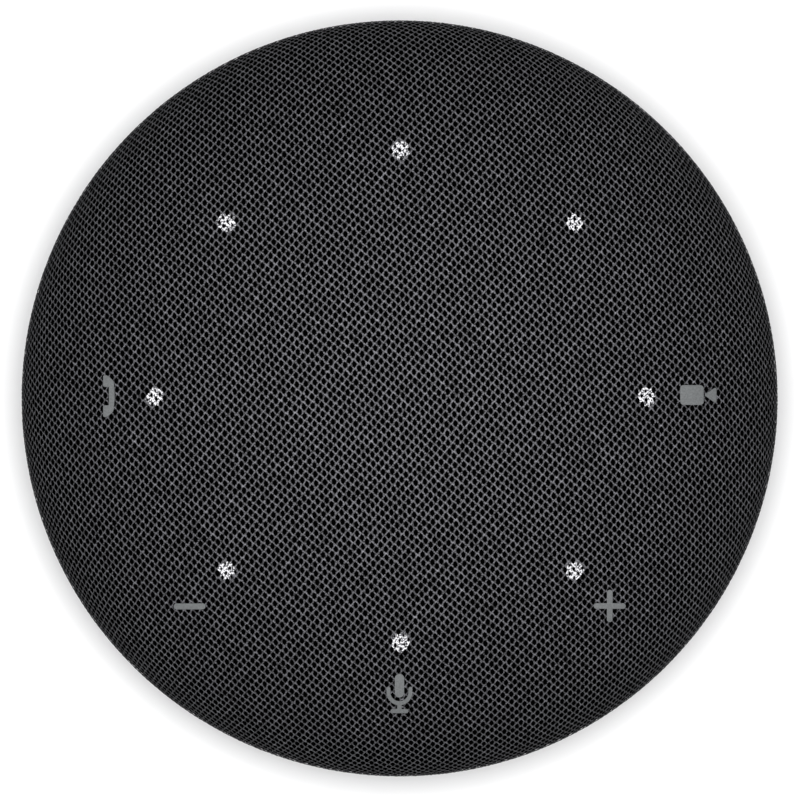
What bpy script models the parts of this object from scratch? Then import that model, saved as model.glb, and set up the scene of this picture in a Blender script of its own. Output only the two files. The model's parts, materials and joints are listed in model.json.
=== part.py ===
"""A round conference speakerphone: a cloth-covered dome over a small round foot.

Units are metres, +Z is up, and the origin is the middle of the foot's underside. The microphone key
faces -Y, the user's side, and the lead leaves at the back, +Y.
"""

import math

import bmesh
import bpy
from mathutils import Matrix, Vector

MM = 0.001
GAP = 0.3 * MM                     # running gap between pieces that touch on the real object

# The outer form. The dome is the upper half of a flattened ellipsoid, and the cloth curls under it.
RADIUS = 50.0 * MM
HEIGHT = 33.0 * MM
EQUATOR_Z = 11.7 * MM              # the widest level
DOME_RISE = HEIGHT - EQUATOR_Z
CURL_CENTRE_R = 45.2 * MM          # the curl under the rim is a quarter ellipse about this radius
CURL_DEPTH = 2.9 * MM

# The skins of the dome, as depths below its outside.
CLOTH_THICKNESS = 0.6 * MM
SHELL_DEPTH = CLOTH_THICKNESS + GAP
SHELL_THICKNESS = 2.0 * MM
SHELL_INNER_DEPTH = SHELL_DEPTH + SHELL_THICKNESS
CLOTH_EDGE_R = 43.6 * MM
SHELL_RIM_R = 44.4 * MM            # inner radius of the shell's thick lower rim
SHELL_RIM_RISE = 1.5 * MM
SHELL_RIM_CHAMFER_Z = EQUATOR_Z + 1.3 * MM

# The foot, the neck and the housing, from the table up.
FOOT_INNER_R = 33.0 * MM
FOOT_OUTER_R = 40.0 * MM
FOOT_HEIGHT = 1.6 * MM
FLANGE_R = 42.0 * MM
FLANGE_BOTTOM_Z = 0.9 * MM
FLANGE_TOP_Z = 3.0 * MM
FLANGE_BEVEL = 0.6 * MM
NECK_R = 31.0 * MM
NECK_WALL = 2.4 * MM
HOUSING_BOTTOM_Z = 9.0 * MM
HOUSING_TOP_Z = 10.9 * MM
HOUSING_FLOOR_R = 41.9 * MM
HOUSING_WIRE_HOLE_R = 10.0 * MM
TRIM_BOTTOM_Z = 7.9 * MM
TRIM_OUTER_R = 45.0 * MM
TRIM_STEP_Z = 9.4 * MM             # top of the part that lies beside the housing's floor

# Screws through the flange, the neck's bosses and the housing's bosses.
SCREW_CIRCLE_R = 26.4 * MM
SCREW_ANGLES = (45, 135, 225, 315)
SCREW_R = 1.1 * MM
SCREW_HEAD_R = 2.3 * MM
SCREW_HEAD_THICKNESS = 0.85 * MM
SCREW_HEAD_BOTTOM_Z = 0.95 * MM
SCREW_SOCKET_R = 1.0 * MM
SCREW_SOCKET_DEPTH = 0.5 * MM
SCREW_TIP_Z = 12.4 * MM
HEAD_CLEARANCE = 0.5 * MM
BOSS_R = 2.7 * MM
HOUSING_BOSS_TOP_Z = 13.2 * MM

# The gland that the lead leaves through, at the back of the neck.
GLAND_Z = 5.9 * MM
GLAND_WAIST_R = 1.8 * MM
GLAND_FLANGE_R = 2.4 * MM
GLAND_BORE_R = 1.5 * MM
GLAND_LIP_THICKNESS = 1.0 * MM
GLAND_NOSE_WALL = 0.4 * MM
GLAND_NOSE_Y = 34.0 * MM
GLAND_SIDES = 16

# The keys, on one circle round the dome. Each is a slot-shaped cap over a switch.
KEYS = {"answer": 180, "volume_down": 225, "mute": 270, "volume_up": 315, "meeting": 0}
KEY_CIRCLE_R = 39.1 * MM
KEY_LENGTH = 11.0 * MM             # round the circle
KEY_WIDTH = 7.0 * MM               # across it
JUST_BELOW_SHELL = 0.1 * MM        # how much lower the keys and light guides end
KEY_DEPTH = SHELL_DEPTH + JUST_BELOW_SHELL
KEY_CHAMFER = 0.4 * MM
KEY_LIP = 0.4 * MM                 # how far the retaining lip stands out under the shell
KEY_LIP_THICKNESS = 0.9 * MM
KEY_STEM_R = 1.4 * MM
KEY_STEM_END_Z = 18.5 * MM
KEY_ARC_STEPS = 6                  # on each round end

# The control board and what stands on it.
BOARD_INNER_R = 24.2 * MM
BOARD_OUTER_R = 43.0 * MM
BOARD_BOTTOM_Z = 14.2 * MM
BOARD_THICKNESS = 1.6 * MM
BOARD_TOP_Z = BOARD_BOTTOM_Z + BOARD_THICKNESS
ON_BOARD_Z = BOARD_TOP_Z + GAP
BOARD_POST_CIRCLE_R = 34.0 * MM
BOARD_POST_R = 2.0 * MM
BOARD_POST_ANGLES = (22.5, 112.5, 202.5, 292.5)
SWITCH_SIDE = 4.4 * MM
SWITCH_HEIGHT = 1.6 * MM
SWITCH_WELL_R = 1.3 * MM
SWITCH_WELL_DEPTH = 1.2 * MM
PLUNGER_R = 0.9 * MM
PLUNGER_BOTTOM_Z = ON_BOARD_Z + 1.0 * MM
PLUNGER_TOP_Z = KEY_STEM_END_Z - GAP

# The ring of lights.
LIGHT_COUNT = 8
LIGHT_CIRCLE_R = 32.4 * MM
LIGHT_R = 1.3 * MM
LED_SIDE = 2.0 * MM
LED_HEIGHT = 0.8 * MM

# The microphones and the rubber tubes that join them to their holes in the shell.
MICROPHONE_ANGLES = (112.5, 292.5)
MICROPHONE_CIRCLE_R = 36.5 * MM
MICROPHONE_SIDE = 3.2 * MM
MICROPHONE_HEIGHT = 1.0 * MM
MICROPHONE_PORT_R = 0.6 * MM
MICROPHONE_PORT_DEPTH = 0.6 * MM
GASKET_R = 1.8 * MM
GASKET_TOP_Z = 21.9 * MM

# The loudspeaker, facing up in its box in the middle.
BOX_R = 23.4 * MM
BOX_WALL = 1.4 * MM
BOX_BOTTOM_Z = 11.3 * MM
BOX_FLOOR = 1.2 * MM
BOX_TOP_Z = 25.0 * MM
POLE_R = 4.0 * MM
YOKE_R = 11.5 * MM
YOKE_BOTTOM_Z = 13.0 * MM
YOKE_THICKNESS = 1.2 * MM
POLE_TOP_Z = 18.9 * MM
MAGNET_INNER_R = 6.2 * MM
MAGNET_OUTER_R = 11.0 * MM
MAGNET_HEIGHT = 2.8 * MM
PLATE_INNER_R = 5.4 * MM
PLATE_THICKNESS = 1.4 * MM
COIL_INNER_R = 4.4 * MM
COIL_OUTER_R = 5.0 * MM
COIL_BOTTOM_Z = 16.4 * MM
COIL_TOP_Z = 22.9 * MM
CONE_INNER_R = 5.3 * MM
CONE_OUTER_R = 16.6 * MM
CONE_BOTTOM_Z = 22.4 * MM
CONE_EDGE_Z = 26.3 * MM
CONE_THICKNESS = 0.5 * MM
DUST_CAP_R = 6.4 * MM
DUST_CAP_RISE = 1.3 * MM
DUST_CAP_THICKNESS = 0.4 * MM
BASKET_FLANGE_Z = BOX_TOP_Z + GAP
BASKET_THICKNESS = 1.2 * MM
BASKET_FLOOR_R = 6.5 * MM          # of the hole that the coil passes through
BASKET_FLOOR_THICKNESS = 1.0 * MM
BASKET_CORNER_R = 13.9 * MM        # where the floor turns up into the wall
BASKET_WALL = 0.6 * MM
BASKET_WINDOW_WIDTH = 7.0 * MM
BASKET_WINDOW_HEIGHT = 2.6 * MM
BASKET_WINDOW_RISE = 3.4 * MM      # of its middle above the floor
SURROUND_OUTER_R = 20.2 * MM
SURROUND_HEIGHT = 1.1 * MM
SURROUND_THICKNESS = 0.35 * MM
SPIDER_OUTER_R = 12.5 * MM
SPIDER_Z = 20.9 * MM
SPIDER_WAVES = 2
SPIDER_WAVE_HEIGHT = 0.3 * MM
SPIDER_THICKNESS = 0.3 * MM
DRIVER_GASKET_INNER_R = 20.8 * MM
DRIVER_GASKET_OUTER_R = 23.2 * MM
DRIVER_GASKET_THICKNESS = 0.5 * MM

# The holes in the shell over the loudspeaker: a hexagonal field.
GRILLE_PITCH = 6.4 * MM
GRILLE_HOLE_R = 2.2 * MM
GRILLE_FIELD_R = 14.0 * MM

# The main board, in the neck.
MAIN_BOARD_R = 21.0 * MM
MAIN_BOARD_Z = 5.2 * MM
MAIN_BOARD_THICKNESS = 1.6 * MM
MAIN_BOARD_POST_CIRCLE_R = 15.0 * MM
MAIN_BOARD_POST_R = 1.5 * MM
CHIP_SIZE = (7.0 * MM, 7.0 * MM, 1.0 * MM)
CHIP_PLACE = (-5.0 * MM, -4.0 * MM)
CONNECTOR_SIZE = (8.0 * MM, 4.0 * MM, 1.6 * MM)
CONNECTOR_PLACE = (0.0, 16.0 * MM)
CAPACITOR_R = 2.0 * MM
CAPACITOR_HEIGHT = 1.4 * MM
CAPACITOR_PLACE = (8.0 * MM, 2.0 * MM)
SUNK_IN_BOARD = 0.3 * MM           # so that what is fitted on it is one body with it

# Facets.
BIG_SIDES = 40
SMALL_SIDES = 20
FINE_SIDES = 12
HEXAGON = 6
COARSE_SIDES = 8                   # posts and other small pins
ARCH_STEPS = 4                     # half rounds in section
DOME_STEPS = 8
CURL_STEPS = 3
MERGE_DISTANCE = 1e-6
ON_AXIS = 1e-7
SHARP_ANGLE = math.radians(35)


# ---------------------------------------------------------------- shapes of outlines


def dome_height(radius, depth):
    """Height of the dome's skin at this radius and this depth below its outside."""
    share = min(1.0, radius / (RADIUS - depth))
    return EQUATOR_Z + (DOME_RISE - depth) * math.sqrt(1.0 - share * share)


def arc(centre, reach, start, end, steps):
    """Points on an ellipse about centre, between two angles in degrees."""
    points = []
    for i in range(steps + 1):
        angle = math.radians(start + (end - start) * i / steps)
        points.append(
            (centre[0] + reach[0] * math.cos(angle), centre[1] + reach[1] * math.sin(angle))
        )
    return points


def dome_outline(depth):
    """The skin's outline at this depth, from the top down and round the curl under the rim."""
    dome = arc((0, EQUATOR_Z), (RADIUS - depth, DOME_RISE - depth), 90, 0, DOME_STEPS)
    reach = (RADIUS - CURL_CENTRE_R - depth, CURL_DEPTH - depth)
    curl = arc((CURL_CENTRE_R, EQUATOR_Z), reach, 0, -90, CURL_STEPS)
    return dome + curl[1:]


def circle(radius, sides):
    """A ring of points about the middle that starts half a side round."""
    points = []
    for i in range(sides):
        angle = math.tau * (i + 0.5) / sides
        points.append((radius * math.cos(angle), radius * math.sin(angle)))
    return points


def slot(end_radius, half_spread):
    """A slot along Y: two round ends, half_spread either side of the middle."""
    points = []
    for side in (1, -1):
        for i in range(KEY_ARC_STEPS + 1):
            angle = math.pi * i / KEY_ARC_STEPS
            points.append(
                (
                    side * end_radius * math.cos(angle),
                    side * (half_spread + end_radius * math.sin(angle)),
                )
            )
    return points


def square(half_side, sides):
    """A square ring of points; sides is a multiple of 8, so that the corners are among them."""
    points = []
    for i in range(sides):
        angle = math.tau * i / sides
        stretch = half_side / max(abs(math.cos(angle)), abs(math.sin(angle)))
        points.append((stretch * math.cos(angle), stretch * math.sin(angle)))
    return points


def polar(radius, degrees, z=0.0):
    """A place on a circle about the Z axis."""
    angle = math.radians(degrees)
    return Vector((radius * math.cos(angle), radius * math.sin(angle), z))


# ---------------------------------------------------------------- making objects


def clear_scene():
    for item in list(bpy.data.objects):
        bpy.data.objects.remove(item, do_unlink=True)


def material(name, colour, roughness, metallic=0.0):
    made = bpy.data.materials.new(name)
    made.use_nodes = True
    shader = made.node_tree.nodes["Principled BSDF"]
    shader.inputs["Base Color"].default_value = (*colour, 1.0)
    shader.inputs["Roughness"].default_value = roughness
    shader.inputs["Metallic"].default_value = metallic
    return made


def make_object(name, mesh_builder, finish=None):
    """Turn a bmesh into a named object, closed and with its faces outward."""
    bmesh.ops.remove_doubles(mesh_builder, verts=mesh_builder.verts, dist=MERGE_DISTANCE)
    bmesh.ops.recalc_face_normals(mesh_builder, faces=mesh_builder.faces)
    mesh = bpy.data.meshes.new(name)
    mesh_builder.to_mesh(mesh)
    mesh_builder.free()
    mesh.shade_smooth()
    mesh.set_sharp_from_angle(angle=SHARP_ANGLE)
    made = bpy.data.objects.new(name, mesh)
    bpy.context.scene.collection.objects.link(made)
    if finish:
        mesh.materials.append(finish)
    return made


def turned(name, outline, finish=None, sides=BIG_SIDES):
    """Turn an outline of (radius, height) about Z. One that starts on the axis also ends on it."""
    builder = bmesh.new()
    points = [builder.verts.new((radius, 0, z)) for radius, z in outline]
    edges = [builder.edges.new(pair) for pair in zip(points, points[1:])]
    if outline[0][0] > ON_AXIS:
        edges.append(builder.edges.new((points[-1], points[0])))
    bmesh.ops.spin(
        builder,
        geom=points + edges,
        cent=(0, 0, 0),
        axis=(0, 0, 1),
        angle=math.tau,
        steps=sides,
        use_merge=True,
    )
    return make_object(name, builder, finish)


def stacked(name, rings, finish=None):
    """Bridge rings of (x, y, z) points that match one another, and close both ends."""
    builder = bmesh.new()
    loops = [[builder.verts.new(point) for point in ring] for ring in rings]
    for below, above in zip(loops, loops[1:]):
        for i in range(len(below)):
            j = (i + 1) % len(below)
            builder.faces.new((below[i], below[j], above[j], above[i]))
    for ring in (loops[0], loops[-1]):
        middle = builder.verts.new(sum((point.co for point in ring), Vector()) / len(ring))
        for i in range(len(ring)):
            builder.faces.new((ring[i], ring[(i + 1) % len(ring)], middle))
    return make_object(name, builder, finish)


def level(outline, z):
    """A ring of points at one height."""
    return [(x, y, z) for x, y in outline]


def tool(made):
    """Keep a cutter or a piece to be joined out of the model itself."""
    made.hide_render = True
    made.display_type = "WIRE"
    return made


def combine(target, operation, others):
    for other in others:
        modifier = target.modifiers.new(operation.lower(), "BOOLEAN")
        modifier.operation = operation
        modifier.solver = "EXACT"
        modifier.object = tool(other)


def pin(name, radius, low, high, place, sides=FINE_SIDES):
    """An upright cylinder, for bosses, posts and drilled holes."""
    outline = circle(radius, sides)
    made = stacked(name, [level(outline, low), level(outline, high)])
    made.location = place
    return made


def block(name, size, place, finish=None):
    builder = bmesh.new()
    bmesh.ops.create_cube(builder, size=1.0, matrix=Matrix.Diagonal((*size, 1.0)))
    made = make_object(name, builder, finish)
    made.location = place
    return made


# ---------------------------------------------------------------- the dome


def make_cloth(finish):
    outer = dome_outline(0.0)
    inner = dome_outline(CLOTH_THICKNESS)
    edge = [(CLOTH_EDGE_R, outer[-1][1]), (CLOTH_EDGE_R, inner[-1][1])]
    return turned("fabric_cover", outer + edge + inner[::-1], finish)


def grille_places():
    """Centres of the sound holes, on a hexagonal grid about the axis."""
    reach = math.ceil(GRILLE_FIELD_R / GRILLE_PITCH) + 1
    places = []
    for row in range(-reach, reach + 1):
        for column in range(-reach, reach + 1):
            x = GRILLE_PITCH * (column + 0.5 * (row % 2))
            y = GRILLE_PITCH * row * math.sqrt(0.75)
            if math.hypot(x, y) < GRILLE_FIELD_R:
                places.append((x, y))
    return places


def shell_cutters():
    """Upright cutters for the key openings, the light holes, the microphone and sound holes."""
    low = EQUATOR_Z + SHELL_THICKNESS
    high = HEIGHT + SHELL_THICKNESS
    cutters = []
    opening = slot(KEY_WIDTH / 2 + GAP, (KEY_LENGTH - KEY_WIDTH) / 2)
    for key, angle in KEYS.items():
        cut = stacked(f"cut_key_{key}", [level(opening, low), level(opening, high)])
        cut.location = polar(KEY_CIRCLE_R, angle)
        cut.rotation_euler.z = math.radians(angle)
        cutters.append(cut)
    for i in range(LIGHT_COUNT):
        place = polar(LIGHT_CIRCLE_R, i * 360 / LIGHT_COUNT)
        cutters.append(pin(f"cut_light_{i + 1}", LIGHT_R + GAP, low, high, place))
    for i, angle in enumerate(MICROPHONE_ANGLES):
        place = polar(MICROPHONE_CIRCLE_R, angle)
        name = f"cut_microphone_{i + 1}"
        cutters.append(pin(name, MICROPHONE_PORT_R, low, high, place, COARSE_SIDES))
    for i, (x, y) in enumerate(grille_places()):
        cutters.append(pin(f"cut_sound_{i + 1}", GRILLE_HOLE_R, low, high, (x, y, 0), HEXAGON))
    return cutters


def make_shell(finish):
    outer = dome_outline(SHELL_DEPTH)
    rim_z = outer[-1][1]
    rim = [(SHELL_RIM_R, rim_z), (SHELL_RIM_R, rim_z + SHELL_RIM_RISE)]
    rise = DOME_RISE - SHELL_INNER_DEPTH
    start = math.degrees(math.asin((SHELL_RIM_CHAMFER_Z - EQUATOR_Z) / rise))
    inner = arc((0, EQUATOR_Z), (RADIUS - SHELL_INNER_DEPTH, rise), start, 90, DOME_STEPS)
    shell = turned("upper_shell", outer + rim + inner, finish)
    combine(shell, "DIFFERENCE", shell_cutters())
    return shell


# ---------------------------------------------------------------- the foot, neck and housing


def make_foot(finish):
    outline = [
        (FOOT_INNER_R, 0.0),
        (FOOT_OUTER_R, 0.0),
        (FOOT_OUTER_R, FOOT_HEIGHT),
        (FOOT_INNER_R, FOOT_HEIGHT),
    ]
    return turned("foot_ring", outline, finish)


def make_bottom_cover(finish):
    groove_top = FOOT_HEIGHT + GAP
    corner = FLANGE_TOP_Z - FLANGE_BEVEL
    bevel = arc((FLANGE_R - FLANGE_BEVEL, corner), (FLANGE_BEVEL, FLANGE_BEVEL), 0, 90, 2)
    outline = [
        (0.0, FLANGE_BOTTOM_Z),
        (FOOT_INNER_R - GAP, FLANGE_BOTTOM_Z),
        (FOOT_INNER_R - GAP, groove_top),
        (FOOT_OUTER_R + GAP, groove_top),
        (FOOT_OUTER_R + GAP, FLANGE_BOTTOM_Z),
        (FLANGE_R - FLANGE_BEVEL, FLANGE_BOTTOM_Z),
        (FLANGE_R, FLANGE_BOTTOM_Z + FLANGE_BEVEL),
        *bevel,
        (0.0, FLANGE_TOP_Z),
    ]
    cover = turned("bottom_cover", outline, finish)
    posts = []
    for i, angle in enumerate(SCREW_ANGLES):
        place = polar(MAIN_BOARD_POST_CIRCLE_R, angle)
        top = MAIN_BOARD_Z - GAP
        name = f"join_post_{i + 1}"
        low = FLANGE_TOP_Z - GAP
        posts.append(pin(name, MAIN_BOARD_POST_R, low, top, place, COARSE_SIDES))
    combine(cover, "UNION", posts)
    shoulder = SCREW_HEAD_BOTTOM_Z + SCREW_HEAD_THICKNESS + GAP
    holes = []
    for i, angle in enumerate(SCREW_ANGLES):
        place = polar(SCREW_CIRCLE_R, angle)
        head_hole_r = SCREW_HEAD_R + HEAD_CLEARANCE
        holes.append(pin(f"cut_head_{i + 1}", head_hole_r, 0.0, shoulder, place))
        holes.append(pin(f"cut_shank_{i + 1}", SCREW_R + GAP, 0.0, FLANGE_TOP_Z + GAP, place))
    combine(cover, "DIFFERENCE", holes)
    return cover


def make_neck(finish):
    bottom = FLANGE_TOP_Z + GAP
    top = HOUSING_BOTTOM_Z - GAP
    outline = [
        (NECK_R - NECK_WALL, bottom),
        (NECK_R, bottom),
        (NECK_R, top),
        (NECK_R - NECK_WALL, top),
    ]
    neck = turned("cable_spool", outline, finish)
    bosses = []
    holes = []
    for i, angle in enumerate(SCREW_ANGLES):
        place = polar(SCREW_CIRCLE_R, angle)
        bosses.append(pin(f"join_neck_boss_{i + 1}", BOSS_R, bottom, top, place))
        holes.append(
            pin(f"cut_neck_boss_{i + 1}", SCREW_R + GAP, bottom - GAP, top + GAP, place)
        )
    combine(neck, "UNION", bosses)
    place = (0, NECK_R - NECK_WALL / 2, GLAND_Z)
    reach = 2 * NECK_WALL
    gland_hole = pin("cut_gland", GLAND_WAIST_R + GAP, -reach, reach, place, GLAND_SIDES)
    gland_hole.rotation_euler.x = math.pi / 2
    combine(neck, "DIFFERENCE", holes + [gland_hole])
    return neck


def make_housing(finish):
    edge_z = TRIM_STEP_Z + GAP
    edge_r = SHELL_RIM_R - GAP
    outline = [
        (HOUSING_WIRE_HOLE_R, HOUSING_BOTTOM_Z),
        (HOUSING_FLOOR_R, HOUSING_BOTTOM_Z),
        (HOUSING_FLOOR_R, edge_z),
        (edge_r, edge_z),
        (edge_r, HOUSING_TOP_Z),
        (HOUSING_WIRE_HOLE_R, HOUSING_TOP_Z),
    ]
    housing = turned("lower_housing", outline, finish)
    low = HOUSING_TOP_Z - GAP
    bosses = []
    holes = []
    for i, angle in enumerate(SCREW_ANGLES):
        place = polar(SCREW_CIRCLE_R, angle)
        bosses.append(pin(f"join_boss_{i + 1}", BOSS_R - GAP, low, HOUSING_BOSS_TOP_Z, place))
        holes.append(
            pin(f"cut_boss_{i + 1}", SCREW_R + GAP, 0.0, HOUSING_BOSS_TOP_Z + GAP, place)
        )
    for i, angle in enumerate(BOARD_POST_ANGLES):
        place = polar(BOARD_POST_CIRCLE_R, angle)
        name = f"join_board_post_{i + 1}"
        top = BOARD_BOTTOM_Z - GAP
        bosses.append(pin(name, BOARD_POST_R, low, top, place, COARSE_SIDES))
    combine(housing, "UNION", bosses)
    combine(housing, "DIFFERENCE", holes)
    return housing


def make_trim(finish):
    """The ring that presses the cloth's edge up under the shell's rim."""
    upstand_outer = CLOTH_EDGE_R - GAP
    inner = HOUSING_FLOOR_R + GAP
    lip_top = EQUATOR_Z - CURL_DEPTH - GAP
    outline = [
        (inner, TRIM_BOTTOM_Z),
        (TRIM_OUTER_R - GAP, TRIM_BOTTOM_Z),
        (TRIM_OUTER_R, TRIM_BOTTOM_Z + GAP),
        (TRIM_OUTER_R, lip_top),
        (upstand_outer, lip_top),
        (upstand_outer, TRIM_STEP_Z),
        (inner, TRIM_STEP_Z),
    ]
    return turned("trim_ring", outline, finish)


def make_gland(finish):
    """A grommet along +Y, held by a flange on each side of the neck's wall."""
    inside = NECK_R - NECK_WALL - GAP
    outside = NECK_R + GAP
    outline = [
        (GLAND_BORE_R, inside - GLAND_LIP_THICKNESS),
        (GLAND_FLANGE_R, inside - GLAND_LIP_THICKNESS),
        (GLAND_FLANGE_R, inside),
        (GLAND_WAIST_R, inside),
        (GLAND_WAIST_R, outside),
        (GLAND_FLANGE_R, outside),
        (GLAND_FLANGE_R, outside + GLAND_LIP_THICKNESS),
        (GLAND_BORE_R + GLAND_NOSE_WALL, GLAND_NOSE_Y),
        (GLAND_BORE_R, GLAND_NOSE_Y),
    ]
    gland = turned("cable_gland", outline, finish, GLAND_SIDES)
    gland.rotation_euler.x = -math.pi / 2
    gland.location = (0, 0, GLAND_Z)
    return gland


def make_screws(finish):
    top = SCREW_HEAD_BOTTOM_Z + SCREW_HEAD_THICKNESS
    socket = SCREW_HEAD_BOTTOM_Z + SCREW_SOCKET_DEPTH
    outline = [
        (0.0, socket),
        (SCREW_SOCKET_R, socket),
        (SCREW_SOCKET_R, SCREW_HEAD_BOTTOM_Z),
        (SCREW_HEAD_R, SCREW_HEAD_BOTTOM_Z),
        (SCREW_HEAD_R, top),
        (SCREW_R, top),
        (SCREW_R, SCREW_TIP_Z - SCREW_R),
        (0.0, SCREW_TIP_Z),
    ]
    for i, angle in enumerate(SCREW_ANGLES):
        screw = turned(f"base_screw_{i + 1}", outline, finish, FINE_SIDES)
        screw.location = polar(SCREW_CIRCLE_R, angle)


# ---------------------------------------------------------------- keys and switches


def key_ring(end_radius, depth):
    """A slot-shaped ring that follows the dome at this depth, in the key's own frame."""
    ring = []
    for x, y in slot(end_radius, (KEY_LENGTH - KEY_WIDTH) / 2):
        ring.append((x, y, dome_height(math.hypot(KEY_CIRCLE_R + x, y), depth)))
    return ring


def make_keys(cap_finish, switch_finish, plunger_finish):
    end = KEY_WIDTH / 2
    lip_depth = SHELL_INNER_DEPTH + GAP
    lip_bottom = lip_depth + KEY_LIP_THICKNESS
    sides = 2 * (KEY_ARC_STEPS + 1)
    stem = circle(KEY_STEM_R, sides)
    stem_top = [
        (x, y, dome_height(math.hypot(KEY_CIRCLE_R + x, y), lip_bottom)) for x, y in stem
    ]
    rings = [
        key_ring(end / 2, KEY_DEPTH),
        key_ring(end - KEY_CHAMFER, KEY_DEPTH),
        key_ring(end, KEY_DEPTH + KEY_CHAMFER),
        key_ring(end, lip_depth),
        key_ring(end + KEY_LIP, lip_depth),
        key_ring(end + KEY_LIP, lip_bottom),
        stem_top,
        level(stem, KEY_STEM_END_Z),
    ]
    well_z = ON_BOARD_Z + SWITCH_HEIGHT - SWITCH_WELL_DEPTH
    top_z = ON_BOARD_Z + SWITCH_HEIGHT
    body = square(SWITCH_SIDE / 2, 2 * COARSE_SIDES)
    well = square(SWITCH_WELL_R, 2 * COARSE_SIDES)
    switch_rings = [
        level(body, ON_BOARD_Z),
        level(body, top_z),
        level(well, top_z),
        level(well, well_z),
    ]
    plunger_outline = circle(PLUNGER_R, COARSE_SIDES)
    plunger_rings = [
        level(plunger_outline, PLUNGER_BOTTOM_Z),
        level(plunger_outline, PLUNGER_TOP_Z),
    ]
    for name, angle in KEYS.items():
        place = polar(KEY_CIRCLE_R, angle)
        cap = stacked(f"key_{name}", rings, cap_finish)
        switch = stacked(f"switch_{name}", switch_rings, switch_finish)
        plunger = stacked(f"switch_plunger_{name}", plunger_rings, plunger_finish)
        for piece in (cap, switch, plunger):
            piece.location = place
            piece.rotation_euler.z = math.radians(angle)


# ---------------------------------------------------------------- board, lights, microphones


def make_board(finish):
    outline = [
        (BOARD_INNER_R, BOARD_BOTTOM_Z),
        (BOARD_OUTER_R, BOARD_BOTTOM_Z),
        (BOARD_OUTER_R, BOARD_TOP_Z),
        (BOARD_INNER_R, BOARD_TOP_Z),
    ]
    return turned("control_board", outline, finish)


def make_lights(led_finish, guide_finish):
    """Light guides stand on the LEDs and end flush with the shell, following its slope."""
    guide_bottom = ON_BOARD_Z + LED_HEIGHT + GAP
    outline = circle(LIGHT_R, FINE_SIDES)
    top = [
        (x, y, dome_height(math.hypot(LIGHT_CIRCLE_R + x, y), SHELL_DEPTH + JUST_BELOW_SHELL))
        for x, y in outline
    ]
    for i in range(LIGHT_COUNT):
        angle = i * 360 / LIGHT_COUNT
        guide = stacked(f"light_guide_{i + 1}", [level(outline, guide_bottom), top], guide_finish)
        guide.location = polar(LIGHT_CIRCLE_R, angle)
        led_place = polar(LIGHT_CIRCLE_R, angle, ON_BOARD_Z + LED_HEIGHT / 2)
        led = block(f"led_{i + 1}", (LED_SIDE, LED_SIDE, LED_HEIGHT), led_place, led_finish)
        for piece in (guide, led):
            piece.rotation_euler.z = math.radians(angle)


def make_microphones(can_finish, gasket_finish):
    can = square(MICROPHONE_SIDE / 2, COARSE_SIDES)
    port = square(MICROPHONE_PORT_R, COARSE_SIDES)
    top = ON_BOARD_Z + MICROPHONE_HEIGHT
    can_rings = [
        level(can, ON_BOARD_Z),
        level(can, top),
        level(port, top),
        level(port, top - MICROPHONE_PORT_DEPTH),
    ]
    gasket = [
        (MICROPHONE_PORT_R, top + GAP),
        (GASKET_R, top + GAP),
        (GASKET_R, GASKET_TOP_Z),
        (MICROPHONE_PORT_R, GASKET_TOP_Z),
    ]
    for i, angle in enumerate(MICROPHONE_ANGLES):
        microphone = stacked(f"microphone_{i + 1}", can_rings, can_finish)
        tube = turned(f"microphone_gasket_{i + 1}", gasket, gasket_finish, FINE_SIDES)
        for piece in (microphone, tube):
            piece.location = polar(MICROPHONE_CIRCLE_R, angle)
            piece.rotation_euler.z = math.radians(angle)


def make_main_board(finish):
    """The board in the neck, with its audio chip, a capacitor and the lead's connector."""
    outline = circle(MAIN_BOARD_R, SMALL_SIDES)
    top = MAIN_BOARD_Z + MAIN_BOARD_THICKNESS
    board = stacked("main_board", [level(outline, MAIN_BOARD_Z), level(outline, top)], finish)
    fitted = []
    sizes = {"chip": (CHIP_SIZE, CHIP_PLACE), "connector": (CONNECTOR_SIZE, CONNECTOR_PLACE)}
    for name, (size, place) in sizes.items():
        middle_z = top - SUNK_IN_BOARD + size[2] / 2
        fitted.append(block(f"join_{name}", size, (*place, middle_z)))
    low, high = top - SUNK_IN_BOARD, top + CAPACITOR_HEIGHT
    fitted.append(pin("join_capacitor", CAPACITOR_R, low, high, (*CAPACITOR_PLACE, 0)))
    combine(board, "UNION", fitted)
    return board


# ---------------------------------------------------------------- the loudspeaker


def ring(name, inner, outer, bottom, height, finish):
    outline = [
        (inner, bottom),
        (outer, bottom),
        (outer, bottom + height),
        (inner, bottom + height),
    ]
    return turned(name, outline, finish, SMALL_SIDES)


def make_speaker_box(finish):
    outline = [
        (0.0, BOX_BOTTOM_Z),
        (BOX_R, BOX_BOTTOM_Z),
        (BOX_R, BOX_TOP_Z),
        (BOX_R - BOX_WALL, BOX_TOP_Z),
        (BOX_R - BOX_WALL, BOX_BOTTOM_Z + BOX_FLOOR),
        (0.0, BOX_BOTTOM_Z + BOX_FLOOR),
    ]
    return turned("speaker_box", outline, finish, SMALL_SIDES)


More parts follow.
